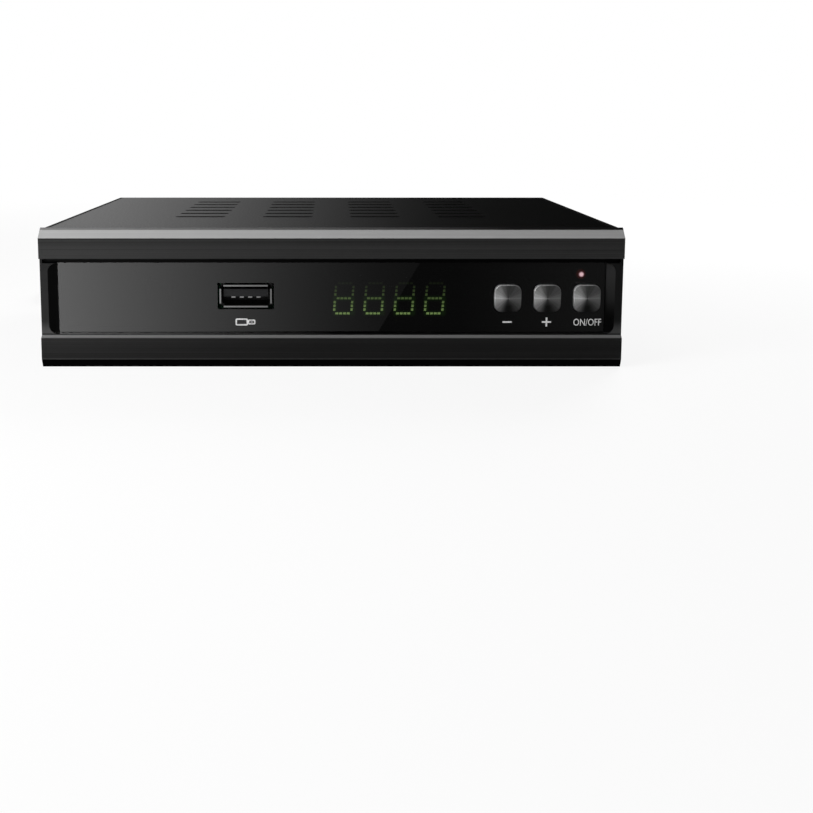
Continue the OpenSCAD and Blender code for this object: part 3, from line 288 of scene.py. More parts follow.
# Plain finishes: colour, roughness, metal, grain size, depth of grain, mottling, gloss
PLAIN_SLOTS = {
    "screw_black": ((0.075, 0.075, 0.078), 0.36, 0.6, 0.3, 0.003, 0.15),
    "black_plastic": ((0.010, 0.010, 0.011), 0.42, 0.0, 0.3, 0.012, 0.15, 0.25),
    "switch_grey": ((0.34, 0.35, 0.36), 0.45, 0.0, 0.3, 0.010, 0.08),
    "screw_steel": ((0.58, 0.58, 0.59), 0.30, 1.0, 0.6, 0.0006, 0.10),
    "shell_nickel": ((0.56, 0.56, 0.555), 0.30, 1.0, 0.8, 0.0004, 0.08),
    # Contacts: gold darkened almost to black, as painted shade deep in their slots
    "contact_gold": ((0.055, 0.050, 0.042), 0.36, 1.0, 0.4, 0.0004, 0.10),
    "connector_cream": ((0.76, 0.72, 0.63), 0.5, 0.0, 0.4, 0.010, 0.06),
    "pillar_brass": ((0.64, 0.50, 0.26), 0.32, 1.0, 0.3, 0.003, 0.10),
    "sink_aluminium": ((0.56, 0.57, 0.59), 0.38, 0.9, 0.3, 0.006, 0.08),
    "can_tin": ((0.60, 0.61, 0.62), 0.34, 0.95, 0.5, 0.003, 0.08),
    "capacitor_blue": ((0.028, 0.042, 0.10), 0.40, 0.0, 0.4, 0.006, 0.10),
    "insulator_grey": ((0.060, 0.060, 0.063), 0.46, 0.0, 0.3, 0.010, 0.10),
    "socket_grey": ((0.026, 0.0265, 0.028), 0.44, 0.0, 0.28, 0.012, 0.12, 0.35),
    "core_ferrite": ((0.07, 0.07, 0.075), 0.62, 0.0, 0.5, 0.016, 0.15),
    "bobbin_yellow": ((0.60, 0.45, 0.07), 0.5, 0.0, 0.5, 0.010, 0.10),
    "wire_brown": ((0.13, 0.042, 0.017), 0.42, 0.0, 0.3, 0.006, 0.10),
    "cord_black": ((0.009, 0.009, 0.010), 0.44, 0.0, 0.3, 0.008, 0.15, 0.25),
    "plug_black": ((0.009, 0.009, 0.010), 0.46, 0.0, 0.3, 0.014, 0.15, 0.25),
    "tie_white": ((0.66, 0.66, 0.62), 0.42, 0.0, 0.4, 0.008, 0.06),
}
OWN_PLAIN = {
    # The front socket's contacts, their plating darkened as painted shade deep in the socket
    "front_usb_contacts": ("shaded_contacts", (0.286, 0.286, 0.286), 0.32, 1.0, 0.8, 0.0004, 0.08),
    # The antenna insulator, lightened as painted light against the shade inside its sleeve
    "antenna_insulator": ("shade_lifted_insulator", (0.12, 0.12, 0.12), 0.46, 0.0, 0.3, 0.010, 0.10),
}
INKS = {
    "white_ink": ((0.62, 0.62, 0.62), 0.5, 0.0, 0.2, 0.004, 0.06),
    "black_ink": ((0.004, 0.004, 0.004), 0.45, 0.0, 0.2, 0.004, 0.1, 0.12),
    "grey_ink": ((0.80, 0.80, 0.80), 0.5, 0.0, 0.2, 0.004, 0.06),
}


class Graph:
    """A small builder for the nodes of one material or world."""

    def __init__(self, tree):
        self.tree = tree
        tree.nodes.clear()

    def feed(self, socket, value):
        """Links a socket, or sets a plain value."""
        if isinstance(value, bpy.types.NodeSocket):
            self.tree.links.new(value, socket)
        else:
            socket.default_value = value

    def node(self, kind, inputs=None, **settings):
        """One node with its settings, and its inputs as values or other nodes' sockets."""
        made = self.tree.nodes.new("ShaderNode" + kind)
        for name, value in settings.items():
            setattr(made, name, value)
        for key, value in (inputs or {}).items():
            self.feed(made.inputs[key], value)
        return made

    def math(self, operation, first, second=0.0, clamp=False):
        inputs = {0: first, 1: second}
        return self.node("Math", inputs, operation=operation, use_clamp=clamp).outputs[0]

    def chain(self, operation, values):
        total = values[0]
        for value in values[1:]:
            total = self.math(operation, total, value)
        return total

    def product(self, *values):
        return self.chain("MULTIPLY", values)

    def largest(self, *values):
        return self.chain("MAXIMUM", values)

    def gap(self, value, middle):
        """How far a value is from a middle, either way."""
        return self.math("ABSOLUTE", self.math("SUBTRACT", value, middle))

    def reach(self, across, up):
        """The distance that two offsets at right angles make."""
        return self.math(
            "SQRT", self.math("ADD", self.product(across, across), self.product(up, up))
        )

    def blend(self, share, first, second):
        """Mix of two colours."""
        made = self.node("Mix", {0: share, 6: first, 7: second}, data_type="RGBA")
        return made.outputs[2]

    def layer(self, share, first, second):
        """Mix of two shaders."""
        return self.node("MixShader", {0: share, 1: first, 2: second}).outputs[0]

    def slide(self, value, low, high, to_low=0.0, to_high=1.0, smooth=False):
        """Value between low and high, spread from to_low to to_high and held there."""
        kind = "SMOOTHSTEP" if smooth else "LINEAR"
        inputs = {0: value, 1: low, 2: high, 3: to_low, 4: to_high}
        return self.node("MapRange", inputs, interpolation_type=kind).outputs[0]

    def vary(self, noise, to_low=0.0, to_high=1.0):
        """A noise, spread from to_low to to_high."""
        return self.slide(noise, *NOISE_RANGE, to_low, to_high)

    def place(self):
        return self.node("TexCoord").outputs["Object"]

    def split(self, vector):
        return self.node("SeparateXYZ", {0: vector}).outputs

    def upright(self, vector):
        """A place's x and z, as on an upright face."""
        parts = self.split(vector)
        return parts[0], parts[2]

    def facing(self):
        """The x, y and z of the direction that the surface faces."""
        return self.split(self.node("NewGeometry").outputs["Normal"])

    def stretch(self, vector, scale):
        return self.node("Mapping", {"Vector": vector, "Scale": scale}).outputs[0]

    def noise(self, vector, size, detail=2.0):
        """Noise with grains of about that size in millimetres."""
        inputs = {"Vector": vector, "Scale": 1.0 / (size * MM), "Detail": detail}
        return self.node("TexNoise", inputs).outputs[0]

    def line_noise(self, value, scale, detail):
        """Noise along one value."""
        inputs = {"W": value, "Scale": scale, "Detail": detail}
        return self.node("TexNoise", inputs, noise_dimensions="1D").outputs[0]

    def weave(self, main, other):
        """Two noises laid over each other."""
        return self.math(
            "ADD", self.product(main, MAIN_SHARE), self.product(other, 1.0 - MAIN_SHARE)
        )

    def bump(self, height, depth):
        """Relief of about that depth in millimetres."""
        inputs = {"Height": height, "Distance": depth * MM, "Strength": 1.0}
        return self.node("Bump", inputs).outputs[0]

    def glow(self, kind, strength):
        """White light of a surface or of the world."""
        return self.node(kind, {"Color": WHITE, "Strength": strength}).outputs[0]

    def mirrored(self, path):
        """1 for a ray that a mirror or clear plastic sends on."""
        return self.largest(path["Is Glossy Ray"], path["Is Transmission Ray"])

    def show(self, shader, kind="OutputMaterial"):
        """Makes a shader the one that is seen."""
        self.tree.links.new(shader, self.node(kind).inputs["Surface"])

    def shader(self, inputs):
        """The material's one main shader."""
        self.show(self.node("BsdfPrincipled", inputs).outputs[0])


def mm(lengths):
    """Lengths given in millimetres, in metres."""
    return [length * MM for length in lengths]


def grey(level):
    return (level, level, level, 1.0)


def scaled(colour, factor):
    return tuple(min(1.0, c * factor) for c in colour[:3]) + (1.0,)


def new_material(name):
    material = bpy.data.materials.new(name)
    material.use_nodes = True
    return material, Graph(material.node_tree)


def add_object(name, data):
    made = bpy.data.objects.new(name, data)
    bpy.context.scene.collection.objects.link(made)
    return made


def middle_of(node):
    low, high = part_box(node)
    return (low + high) / 2


def plain_finish(name, colour, rough, metal, grain, relief, mottle, specular=0.5):
    """A moulded, painted or plated finish: cloudy colour, uneven gloss and a fine grain."""
    material, g = new_material(name)
    place = g.place()
    cloud = g.noise(place, grain * CLOUD_GRAINS, 3.0)
    fine = g.noise(place, grain)
    mixed = g.weave(cloud, fine)
    dark, pale = scaled(colour, 1.0 - mottle), scaled(colour, 1.0 + mottle)
    g.shader({
        "Base Color": g.blend(g.vary(mixed), dark, pale),
        "Metallic": metal,
        "Roughness": g.slide(mixed, 0.25, 0.75, rough - ROUGH_SPREAD, rough + ROUGH_SPREAD),
        "Specular IOR Level": specular,
        "Normal": g.bump(fine, relief),
    })
    return material


def mouth_finish(name, mouth, inwards, gleam):
    """Plated socket shell or contact, bright round its mouth, with shade painted further in."""
    material, g = new_material("plated_" + name)
    place = g.place()
    cloud = g.noise(place, 6.0, 3.0)
    fine = g.noise(place, 0.4)
    shine = g.blend(cloud, grey(0.9 * gleam), grey(1.1 * gleam))
    depth = g.product(g.math("SUBTRACT", g.split(place)[1], mouth), inwards)
    # Painted shade: the plating turns dark further into the socket
    inside = g.slide(depth, *mm(MOUTH_DEPTH))
    g.shader({
        "Base Color": g.blend(inside, shine, grey(0.02)),
        "Metallic": 1.0,
        "Roughness": g.vary(fine, 0.24, 0.36),
        "Normal": g.bump(fine, 0.0004),
    })
    return material


def pin_finish(start):
    """Plated plug pins, sleeved in black plastic next to the plug."""
    material, g = new_material("sleeved_pins")
    place = g.place()
    fine = g.noise(place, 0.4)
    out = g.math("SUBTRACT", g.split(place)[0], start)
    bare = g.slide(out, *mm((PIN_SLEEVE - SLEEVE_SOFT, PIN_SLEEVE + SLEEVE_SOFT)))
    g.shader({
        "Base Color": g.blend(bare, grey(0.010), g.blend(fine, grey(0.52), grey(0.62))),
        "Metallic": bare,
        "Roughness": g.vary(fine, 0.26, 0.38),
        "Normal": g.bump(fine, 0.0004),
    })
    return material


def cover_finish():
    """Black powder coat with a fine orange peel, dull along the folds at its sides."""
    material, g = new_material("powder_coat")
    place = g.place()
    peel = g.noise(place, 0.5, 3.0)
    cloud = g.noise(place, 30)
    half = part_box("top_cover")[1].x
    off = g.math("ABSOLUTE", g.split(place)[0])
    level = g.slide(g.facing()[2], 0.5, 0.8)
    start, full = mm(FOLD_BAND)
    fold = g.product(g.slide(off, half - start, half - full), level)
    g.shader({
        "Base Color": g.blend(cloud, grey(0.0008), grey(0.0016)),
        "Roughness": g.math("ADD", g.vary(peel, 0.36, 0.46), g.product(fold, 0.54)),
        "Specular IOR Level": 0.12,
        "Normal": g.bump(peel, 0.010),
    })
    return material


def bezel_finish():
    """Dark front with hairlines along it, with painted highlights on its chamfers and painted
    shade along its foot and round the window.
    """
    material, g = new_material("brushed_front")
    place = g.place()
    along, depth, height = g.split(place)
    x, y, z = g.facing()
    lines = g.noise(g.stretch(place, (0.0015, 1.0, 1.0)), 0.22)
    wide = g.noise(g.stretch(place, (0.004, 1.0, 1.0)), 1.1)
    hair = g.weave(lines, wide)
    streak = g.slide(hair, 0.32, 0.68)

    # Upper band, the lower band painted darker as shade, and a faint painted highlight line along
    # the foot
    low = g.slide(height, *mm(BAND_SPLIT))
    lower = g.blend(streak, grey(0.004), grey(0.012))
    band = g.blend(low, g.blend(streak, grey(0.014), grey(0.033)), lower)
    edge = g.slide(g.gap(height, FOOT_TOP * MM), *mm(PAINTED_FOOT_HIGHLIGHT))
    band = g.blend(g.product(edge, 0.6), band, grey(0.040))

    # Chamfer along the top with the rim above it, and the lip under the window with its ledge, all
    # in painted light and shade
    # Painted highlights: faces turned up on the chamfer and lip are coloured bright, the lip
    # brightest along its middle line
    line = g.slide(g.gap(height, LIP_Z * MM), *mm(PAINTED_LIP_HIGHLIGHT))
    lip = g.blend(line, lower, g.blend(streak, grey(0.13), grey(0.17)))
    chamfer = g.blend(low, g.blend(streak, grey(0.33), grey(0.40)), lip)
    colour = g.blend(g.slide(z, 0.3, 0.5, smooth=True), band, chamfer)
    # Painted reflection: the rim above the strip copies the cover top's light, bright at the left
    # and dark at the right
    painted_rim_reflection = g.blend(g.slide(along, *mm(PAINTED_RIM_FADE)), grey(0.16), grey(0.002))
    over = g.slide(height, *mm((STRIP_TOP - STRIP_SOFT, STRIP_TOP + STRIP_SOFT)))
    colour = g.blend(over, colour, painted_rim_reflection)
    # Painted shade: up-facing ledges below the split are black, with a painted reflection at the
    # left fading out to the right
    ledge = g.product(low, g.slide(z, 0.85, 0.95))
    colour = g.blend(ledge, colour, grey(0.003))
    painted_ledge_reflection = g.product(ledge, g.slide(along, *mm(PAINTED_LEDGE_FADE)))
    colour = g.blend(painted_ledge_reflection, colour, grey(0.75))

    # Posts beside the window: their fronts painted dark as shade, lighter towards the lip as a
    # painted sheen, and the walls that face it, painted as shade that darkens downwards
    middle, half = (WINDOW_TOP + WINDOW_LOW) / 2, (WINDOW_TOP - WINDOW_LOW) / 2
    off = g.gap(height, middle * MM)
    post = g.slide(off, *mm(half + soft for soft in POST_SOFT))
    right = g.product(g.slide(x, -0.3, -0.6), post)
    painted_wall_shade = g.blend(g.slide(height, *mm(WALL_SHADE)), grey(0.002), grey(0.020))
    painted_post_sheen = g.slide(height, *mm(PAINTED_POST_SHEEN), smooth=True)
    front = g.blend(painted_post_sheen, grey(0.005), grey(0.050))
    colour = g.blend(post, colour, g.blend(right, front, painted_wall_shade))

    # Faces painted black as shade, with their gloss damped: faces turned down, the left wall, the
    # deep faces and the lower right wall
    shaded = g.product(right, g.slide(height, *mm(CORNER_SHADE)))
    deep = g.product(post, g.slide(depth, *mm(DEEP_FACE)), g.slide(y, -0.8, -0.9))
    left = g.product(g.slide(x, 0.3, 0.6, smooth=True), post)
    foot = g.slide(z, -0.2, -0.4, smooth=True)
    dull = g.largest(foot, left, deep, shaded)
    g.shader({
        "Base Color": g.blend(dull, colour, grey(0.003)),
        "Metallic": g.largest(ledge, g.product(dull, 0.85)),
        "Roughness": g.math("SUBTRACT", g.vary(hair, 0.44, 0.56), g.product(painted_ledge_reflection, 0.36)),
        "Specular IOR Level": 0.16,
        "Anisotropic": 0.4,
        "Tangent": g.node("Tangent", direction_type="RADIAL", axis="Z").outputs[0],
        "Normal": g.bump(hair, 0.004),
    })
    return material


def lens_finish():
    """Smoked clear plastic."""
    material, g = new_material("smoked_window")
    haze = g.noise(g.place(), 6.0, 3.0)
    g.shader({
        "Base Color": g.blend(haze, (0.040, 0.042, 0.045, 1.0), (0.050, 0.052, 0.055, 1.0)),
        "Roughness": g.vary(haze, 0.012, 0.03),
        "IOR": 1.49,
        "Transmission Weight": 1.0,
    })
    return material


def key_finish(name, middle):
    """Metal key, turned in fine rings round its middle, with the sheen that turning leaves painted
    into its colour.
    """
    material, g = new_material("spun_" + name)
    x, z = g.upright(g.place())
    across = g.math("SUBTRACT", x, middle.x)
    up = g.math("SUBTRACT", z, middle.z)
    ray = g.math("ARCTAN2", up, g.math("ABSOLUTE", across))
    reach = g.reach(across, up)
    rings = g.line_noise(reach, KEY_RINGS, 1.0)
    rays = g.line_noise(ray, KEY_RAYS, 3.0)

    # Painted sheen: pale to the left, less so to the right, dark above and below, with a painted
    # highlight on its rim
    steep = g.math("ABSOLUTE", ray)
    above = g.slide(up, *mm(KEY_HALVES))
    span = g.slide(above, 0.0, 1.0, 1.45, 1.8)
    power = g.slide(above, 0.0, 1.0, 1.5, 1.2)
    share = g.math("POWER", g.math("SUBTRACT", 1.0, g.math("DIVIDE", steep, span), True), power)
    light = g.blend(g.slide(across, *mm(KEY_LIGHT)), grey(0.80), grey(0.20))
    dark = g.blend(g.slide(reach, *mm(KEY_DARK)), grey(0.05), grey(0.006))
    dark = g.blend(above, dark, grey(0.04))
    sheen = g.blend(share, dark, light)
    edge = g.blend(g.slide(across, *mm(KEY_RIM)), grey(0.7), grey(0.25))
    sheen = g.blend(g.slide(g.facing()[2], 0.15, 0.5), sheen, edge)

    fine = g.weave(rays, rings)
    shade = g.blend(g.slide(fine, 0.35, 0.65), grey(0.55), grey(1.0))
    # Painted highlight along the level line through the middle
    shade = g.blend(g.slide(steep, 0.0, 0.16, 0.35, 0.0, smooth=True), shade, grey(1.1))
    colour = g.node("Mix", {0: 1.0, 6: sheen, 7: shade}, data_type="RGBA", blend_type="MULTIPLY")
    g.shader({
        "Base Color": colour.outputs[2],
        "Metallic": 0.6,
        "Roughness": g.vary(fine, 0.34, 0.46),
        "Anisotropic": 0.7,
        "Tangent": g.node("Tangent", direction_type="RADIAL", axis="Y").outputs[0],
        "Normal": g.bump(rings, 0.002),
    })
    return material


def glow_finish():
    """Lit display strokes, brightest at the foot and faint at the top."""
    material, g = new_material("green_strokes")
    place = g.place()
    z = g.split(place)[2]
    speck = g.noise(place, 0.25)
    start, full = mm(GLOW_RISE)
    lit = g.blend(g.slide(z, start, full), GLOW_FOOT, GLOW_UP)
    top = g.slide(z, full, (DIGIT_Z + DIGIT_HALF_H) * MM)
    g.shader({
        "Base Color": g.blend(speck, grey(0.02), grey(0.03)),
        "Roughness": 0.5,
        "Emission Color": g.blend(top, lit, scaled(GLOW_UP, GLOW_TOP_SHARE)),
        "Emission Strength": GLOW_LIGHT,
    })
    return material


def lamp_finish(middle, tip):
    """Red lamp: a pale hot middle in a deep red body, lit at its tip alone."""
    material, g = new_material("red_lamp")
    place = g.place()
    x, y, z = g.split(place)
    reach = g.reach(g.math("SUBTRACT", x, middle.x), g.math("SUBTRACT", z, middle.z))
    heat = g.slide(reach, *mm(LAMP_HEAT), smooth=True)
    behind = g.math("SUBTRACT", y, tip)
    halo = g.product(
        g.slide(reach, *mm(LAMP_HALO), smooth=True), g.slide(behind, *mm(LAMP_TIP))
    )
    speck = g.noise(place, 0.4)
    g.shader({
        "Base Color": g.blend(speck, (0.2, 0.02, 0.02, 1.0), (0.28, 0.03, 0.03, 1.0)),
        "Roughness": 0.25,
        "Emission Color": g.blend(heat, (0.7, 0.10, 0.08, 1.0), (16.0, 10.0, 10.2, 1.0)),
        "Emission Strength": halo,
    })
    return material


def display_finish():
    """Dark display face with a painted faint green glow along the lower half of each digit."""
    material, g = new_material("display_face")
    place = g.place()
    x, z = g.upright(place)
    first, pitch = DIGIT_XS[0] * MM, (DIGIT_XS[1] - DIGIT_XS[0]) * MM
    half_w, half_h = DIGIT_HALF_W * MM, DIGIT_HALF_H / 2 * MM
    steps = g.math("DIVIDE", g.math("SUBTRACT", x, first), pitch)
    near = g.math("MINIMUM", g.largest(g.math("ROUND", steps), 0.0), len(DIGIT_XS) - 1.0)
    across = g.product(g.gap(steps, near), pitch)
    drop = g.gap(z, (DIGIT_Z - DIGIT_HALF_H / 2) * MM)
    beside = g.largest(g.math("SUBTRACT", across, half_w), 0.0)
    beyond = g.largest(g.math("SUBTRACT", drop, half_h), 0.0)
    inside = g.math(
        "MINIMUM", g.math("SUBTRACT", half_w, across), g.math("SUBTRACT", half_h, drop)
    )
    reach = g.largest(g.reach(beside, beyond), inside)
    speck = g.noise(place, 0.5)
    g.shader({
        "Base Color": g.blend(speck, grey(0.012), grey(0.02)),
        "Roughness": 0.6,
        "Emission Color": HALO_COLOUR,
        "Emission Strength": g.slide(reach, 0.0, HALO_REACH * MM, HALO_LIGHT, 0.0, smooth=True),
    })
    return material


def zone_mask(g, x, z, zone):
    """1 inside an upright zone and in the room round it."""
    right, left, low, high = zone
    half_x, half_z = (right - left) / 2 + ZONE_ROOM, (high - low) / 2 + ZONE_ROOM
    off_x = g.gap(x, (left + right) / 2 * MM)
    off_z = g.gap(z, (low + high) / 2 * MM)
    return g.product(
        g.math("LESS_THAN", off_x, half_x * MM), g.math("LESS_THAN", off_z, half_z * MM)
    )


def panel_finish():
    """White painted panel with rows of printed dots, plain in its zones and round the ears."""
    material, g = new_material("dotted_panel")
    place = g.place()
    x, z = g.upright(place)
    offsets = []
    for along, first, pitch in zip((x, z), mm(DOT_FIRST), mm(DOT_PITCH)):
        steps = g.math("DIVIDE", g.math("SUBTRACT", along, first), pitch)
        near = g.math("SUBTRACT", steps, g.math("ROUND", steps))
        offsets.append(g.product(near, pitch))
    dot = g.slide(g.reach(*offsets), *mm((DOT_R + DOT_SOFT, DOT_R - DOT_SOFT)))
    zones = [(right, left, FRAME_FOOT, top) for right, left, top, _ in REAR_FRAMES]
    zones += [PLATE, WAVE_ZONE, CORNER_ZONE, BUSHING_ZONE]
    off_x = g.math("SUBTRACT", g.math("ABSOLUTE", x), EAR_X * MM)
    off_z = g.math("SUBTRACT", z, EAR_Z * MM)
    ear = g.math("LESS_THAN", g.reach(off_x, off_z), EAR_R * MM)
    bare = g.largest(ear, *(zone_mask(g, x, z, zone) for zone in zones))
    behind = g.math("GREATER_THAN", g.facing()[1], 0.5)
    ink = g.product(dot, g.math("SUBTRACT", 1.0, bare), behind)
    cloud = g.noise(place, 18, 3.0)
    fine = g.noise(place, 0.35)
    paint = g.blend(g.vary(cloud), grey(0.78), grey(0.84))
    g.shader({
        "Base Color": g.blend(ink, paint, grey(0.008)),
        "Roughness": g.vary(fine, 0.45, 0.57),
        "Normal": g.bump(fine, 0.006),
    })
    return material


def steel_finish():
    """Zinc-coated sheet: a faint crystal pattern and a fine grain."""
    material, g = new_material("zinc_sheet")
    place = g.place()
    flakes = g.node("TexVoronoi", {"Vector": place, "Scale": 1.0 / (4.0 * MM)})
    fine = g.noise(place, 0.3)
    tone = g.split(flakes.outputs["Color"])[0]
    zinc = (0.52, 0.53, 0.54)
    g.shader({
        "Base Color": g.blend(tone, scaled(zinc, 0.82), scaled(zinc, 1.08)),
        "Metallic": 0.9,
        "Roughness": g.slide(tone, 0.0, 1.0, 0.31, 0.43),
        "Normal": g.bump(fine, 0.003),
    })
    return material


def board_finish():
    """Green circuit board with paler copper runs under the lacquer."""
    material, g = new_material("circuit_board")
    place = g.place()
    runs = g.node("TexBrick", {
        "Vector": place, "Scale": 1.0 / (6.0 * MM), "Mortar Size": 0.03,
        "Color1": (0.015, 0.10, 0.04, 1.0), "Color2": (0.02, 0.125, 0.05, 1.0),
        "Mortar": (0.05, 0.22, 0.10, 1.0),
    })
    fine = g.noise(place, 0.5)
    g.shader({
        "Base Color": runs.outputs[0],
        "Roughness": g.vary(fine, 0.55, 0.68),
        "Specular IOR Level": 0.2,
        "Normal": g.bump(fine, 0.004),
    })
    return material


def glass_finish():
    """Clear glass tube."""
    material, g = new_material("fuse_tube")
    haze = g.noise(g.place(), 1.5)
    g.shader({
        "Base Color": g.blend(haze, (0.86, 0.9, 0.92, 1.0), (0.92, 0.95, 0.96, 1.0)),
        "Roughness": g.vary(haze, 0.03, 0.08),
        "IOR": 1.5,
        "Transmission Weight": 1.0,
    })
    return material


def make_finishes():
    """The finish of each material slot that several solids share."""
    finishes = {name: plain_finish(name, *values) for name, values in PLAIN_SLOTS.items()}
    finishes["cover_black"] = cover_finish()
    finishes["tray_steel"] = steel_finish()
    finishes["panel_white"] = panel_finish()
    finishes["bezel_grey"] = bezel_finish()
    finishes["window_smoke"] = lens_finish()
    finishes["board_green"] = board_finish()
    finishes["display_grey"] = display_finish()
    finishes["lamp_red"] = lamp_finish(middle_of("standby_led"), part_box("standby_led")[0].y)
    finishes["fuse_glass"] = glass_finish()
    return finishes


def dress(frame, finishes):
    """Gives each solid its finish."""
    for part in frame["record"]["subparts"]:
        name, slot = part["node"], part["material_slot"]
        if slot == "key_metal":
            finish = key_finish(name, middle_of(name))
        elif name in FRONT_GLEAM:
            finish = mouth_finish(name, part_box(name)[0].y, 1.0, FRONT_GLEAM[name])
        elif name in REAR_GLEAM:
            finish = mouth_finish(name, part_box(name)[1].y, -1.0, REAR_GLEAM[name])
        elif name in OWN_PLAIN:
            finish = plain_finish(*OWN_PLAIN[name])
        elif name == "plug_pins":
            finish = pin_finish(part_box(name)[0].x)
        else:
            finish = finishes[slot]
        mesh = frame["nodes"][name].data
        mesh.materials.clear()
        mesh.materials.append(finish)


def build_camera():
    camera = add_object("camera", bpy.data.cameras.new("camera"))
    camera.location = Vector(CAMERA_AT) * MM
    camera.rotation_euler = (math.radians(90.0 - CAMERA_DOWN), 0.0, 0.0)
    camera.data.lens = CAMERA_LENS
    camera.data.sensor_width = CAMERA_SENSOR
    camera.data.shift_x, camera.data.shift_y = CAMERA_SHIFT
    camera.data.clip_start = CAMERA_NEAR * MM
    bpy.context.scene.camera = camera


def smooth_route(points):
    """Points of a Catmull-Rom curve through the given ones."""
    found = []
    last = len(points) - 1
    for i in range(last):
        a, b = points[max(i - 1, 0)], points[i]
        c, d = points[i + 1], points[min(i + 2, last)]
        for step in range(ROUTE_STEPS):
            t = step / ROUTE_STEPS
            bend = (a * 2 - b * 5 + c * 4 - d) * t ** 2
            twist = (b * 3 - a - c * 3 + d) * t ** 3
            found.append((b * 2 + (c - a) * t + bend + twist) * 0.5)
    found.append(points[-1])
    return found


def coil_radius(turn):
    """Radius of the wound lead: it spirals in, turns back and spirals out."""
    if turn < LAYER_TURNS:
        return COIL_IN_R + TURN_PITCH * (LAYER_TURNS - turn)
    past = turn - LAYER_TURNS
    if past < CLIMB_TURNS:
        return COIL_IN_R - TURN_PITCH * past + TURN_PITCH * past ** 2 / CLIMB_TURNS
    return COIL_IN_R + TURN_PITCH * (past - CLIMB_TURNS)


def coil_angle(turn):
    return math.pi - 2.0 * math.pi * turn


def coil_point(turn):
    """Middle of the wound lead after that many turns, from the middle of the coil."""
    share = min(max((turn - LAYER_TURNS) / CLIMB_TURNS, 0.0), 1.0)
    angle = coil_angle(turn)
    radius = coil_radius(turn)
    rise = COIL_Z + TURN_PITCH * share ** 2 * (3.0 - 2.0 * share)
    return Vector((radius * math.cos(angle), radius * math.sin(angle), rise))


def cord_points():
    """Centre line of the whole lead, from the bushing to the plug."""
    start = Vector((CORD_X, SLEEVE_Y, 0.0))
    middle = start + Vector(COIL_AT)
    last = coil_angle(ALL_TURNS)
    heads = [Vector((0, 1, 0)), Vector((math.sin(last), -math.cos(last), 0))]
    count = round(ALL_TURNS * COIL_STEPS)
    coil = [middle + coil_point(ALL_TURNS * i / count) for i in range(count + 1)]
    coil_in = coil[0] - heads[0] * CORD_D
    coil_out = coil[-1] + heads[1] * CORD_D
    plug = start + Vector(PLUG_AT)
    lead = [Vector((CORD_X, SLEEVE_Y, CORD_Z))] + [start + Vector(p) for p in LEAD_ROUTE]
    lead += [coil_in - heads[0] * END_RUN, coil_in]
    tail = [coil_out, coil_out + heads[1] * END_RUN] + [start + Vector(p) for p in TAIL_ROUTE]
    tail += [plug - Vector((END_RUN, 0, 0)), plug]
    bushing = Vector((CORD_X, BUSHING_Y, CORD_Z))
    return [bushing] + smooth_route(lead) + coil + smooth_route(tail)


def build_cord(material):
    """The whole mains lead as one smooth tube."""
    points = cord_points()
    curve = bpy.data.curves.new("mains_cord", "CURVE")
    curve.dimensions = "3D"
    curve.bevel_depth = CORD_D / 2 * MM
    curve.bevel_resolution = CORD_FACETS
    curve.use_fill_caps = True
    spline = curve.splines.new("POLY")
    spline.points.add(len(points) - 1)
    for target, point in zip(spline.points, points):
        target.co = (*(point * MM), 1.0)
    cord = add_object("mains_cord", curve)
    curve.materials.append(material)
    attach(cord, "case")
    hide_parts("mains_lead", "lead_coil", "lead_tail")


class Ink:
    """Flat shapes on an upright face, as thin closed plates in one mesh."""

    def __init__(self, y0, y1):
        self.bm = bmesh.new()
        self.y0, self.y1 = y0, y1

    def loop(self, points, y):
        return [self.bm.verts.new((x * MM, y, z * MM)) for x, z in points]

    def walls(self, front, back):
        for i in range(len(front)):
            j = (i + 1) % len(front)
            self.bm.faces.new((front[i], front[j], back[j], back[i]))

    def plate(self, points):
        front, back = self.loop(points, self.y0), self.loop(points, self.y1)
        self.walls(front, back)
        self.bm.faces.new(front)
        self.bm.faces.new(back)

    def ring(self, outer, inner):
        loops = [self.loop(points, y) for points in (outer, inner) for y in (self.y0, self.y1)]
        self.walls(loops[0], loops[1])
        self.walls(loops[2], loops[3])
        self.walls(loops[0], loops[2])
        self.walls(loops[1], loops[3])

    def frame(self, x0, x1, z0, z1, radius):
        """A printed line round a box with round corners."""
        inner = (x0 + LINE_W, x1 - LINE_W, z0 + LINE_W, z1 - LINE_W)
        self.ring(round_box(x0, x1, z0, z1, radius), round_box(*inner, radius - LINE_W))

    def text(self, words, x, z, height, mirrored, narrow=1.0):
        """Words in the built-in font, centred at x and standing at z."""
        curve = bpy.data.curves.new("words", "FONT")
        curve.body = words
        curve.size = height / CAP_SHARE * MM
        curve.align_x = "CENTER"
        curve.extrude = abs(self.y1 - self.y0) / 2
        curve.resolution_u = LETTER_STEPS
        holder = add_object("words", curve)
        graph = bpy.context.evaluated_depsgraph_get()
        mesh = bpy.data.meshes.new_from_object(holder.evaluated_get(graph))
        side = -1.0 if mirrored else 1.0
        middle = (self.y0 + self.y1) / 2
        for vertex in mesh.vertices:
            across, up, out = vertex.co
            vertex.co = (x * MM + side * narrow * across, middle - side * out, z * MM + up)
        self.bm.from_mesh(mesh)
        bpy.data.objects.remove(holder)
        bpy.data.meshes.remove(mesh)

    def finish(self, name, material, slot):
        bmesh.ops.remove_doubles(self.bm, verts=self.bm.verts, dist=JOIN_ROOM * MM)
        bmesh.ops.recalc_face_normals(self.bm, faces=self.bm.faces)
        mesh = bpy.data.meshes.new(name)
        self.bm.to_mesh(mesh)
        self.bm.free()
        mesh.materials.append(material)
        piece = add_object(name, mesh)
        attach(piece, "case")
        return piece


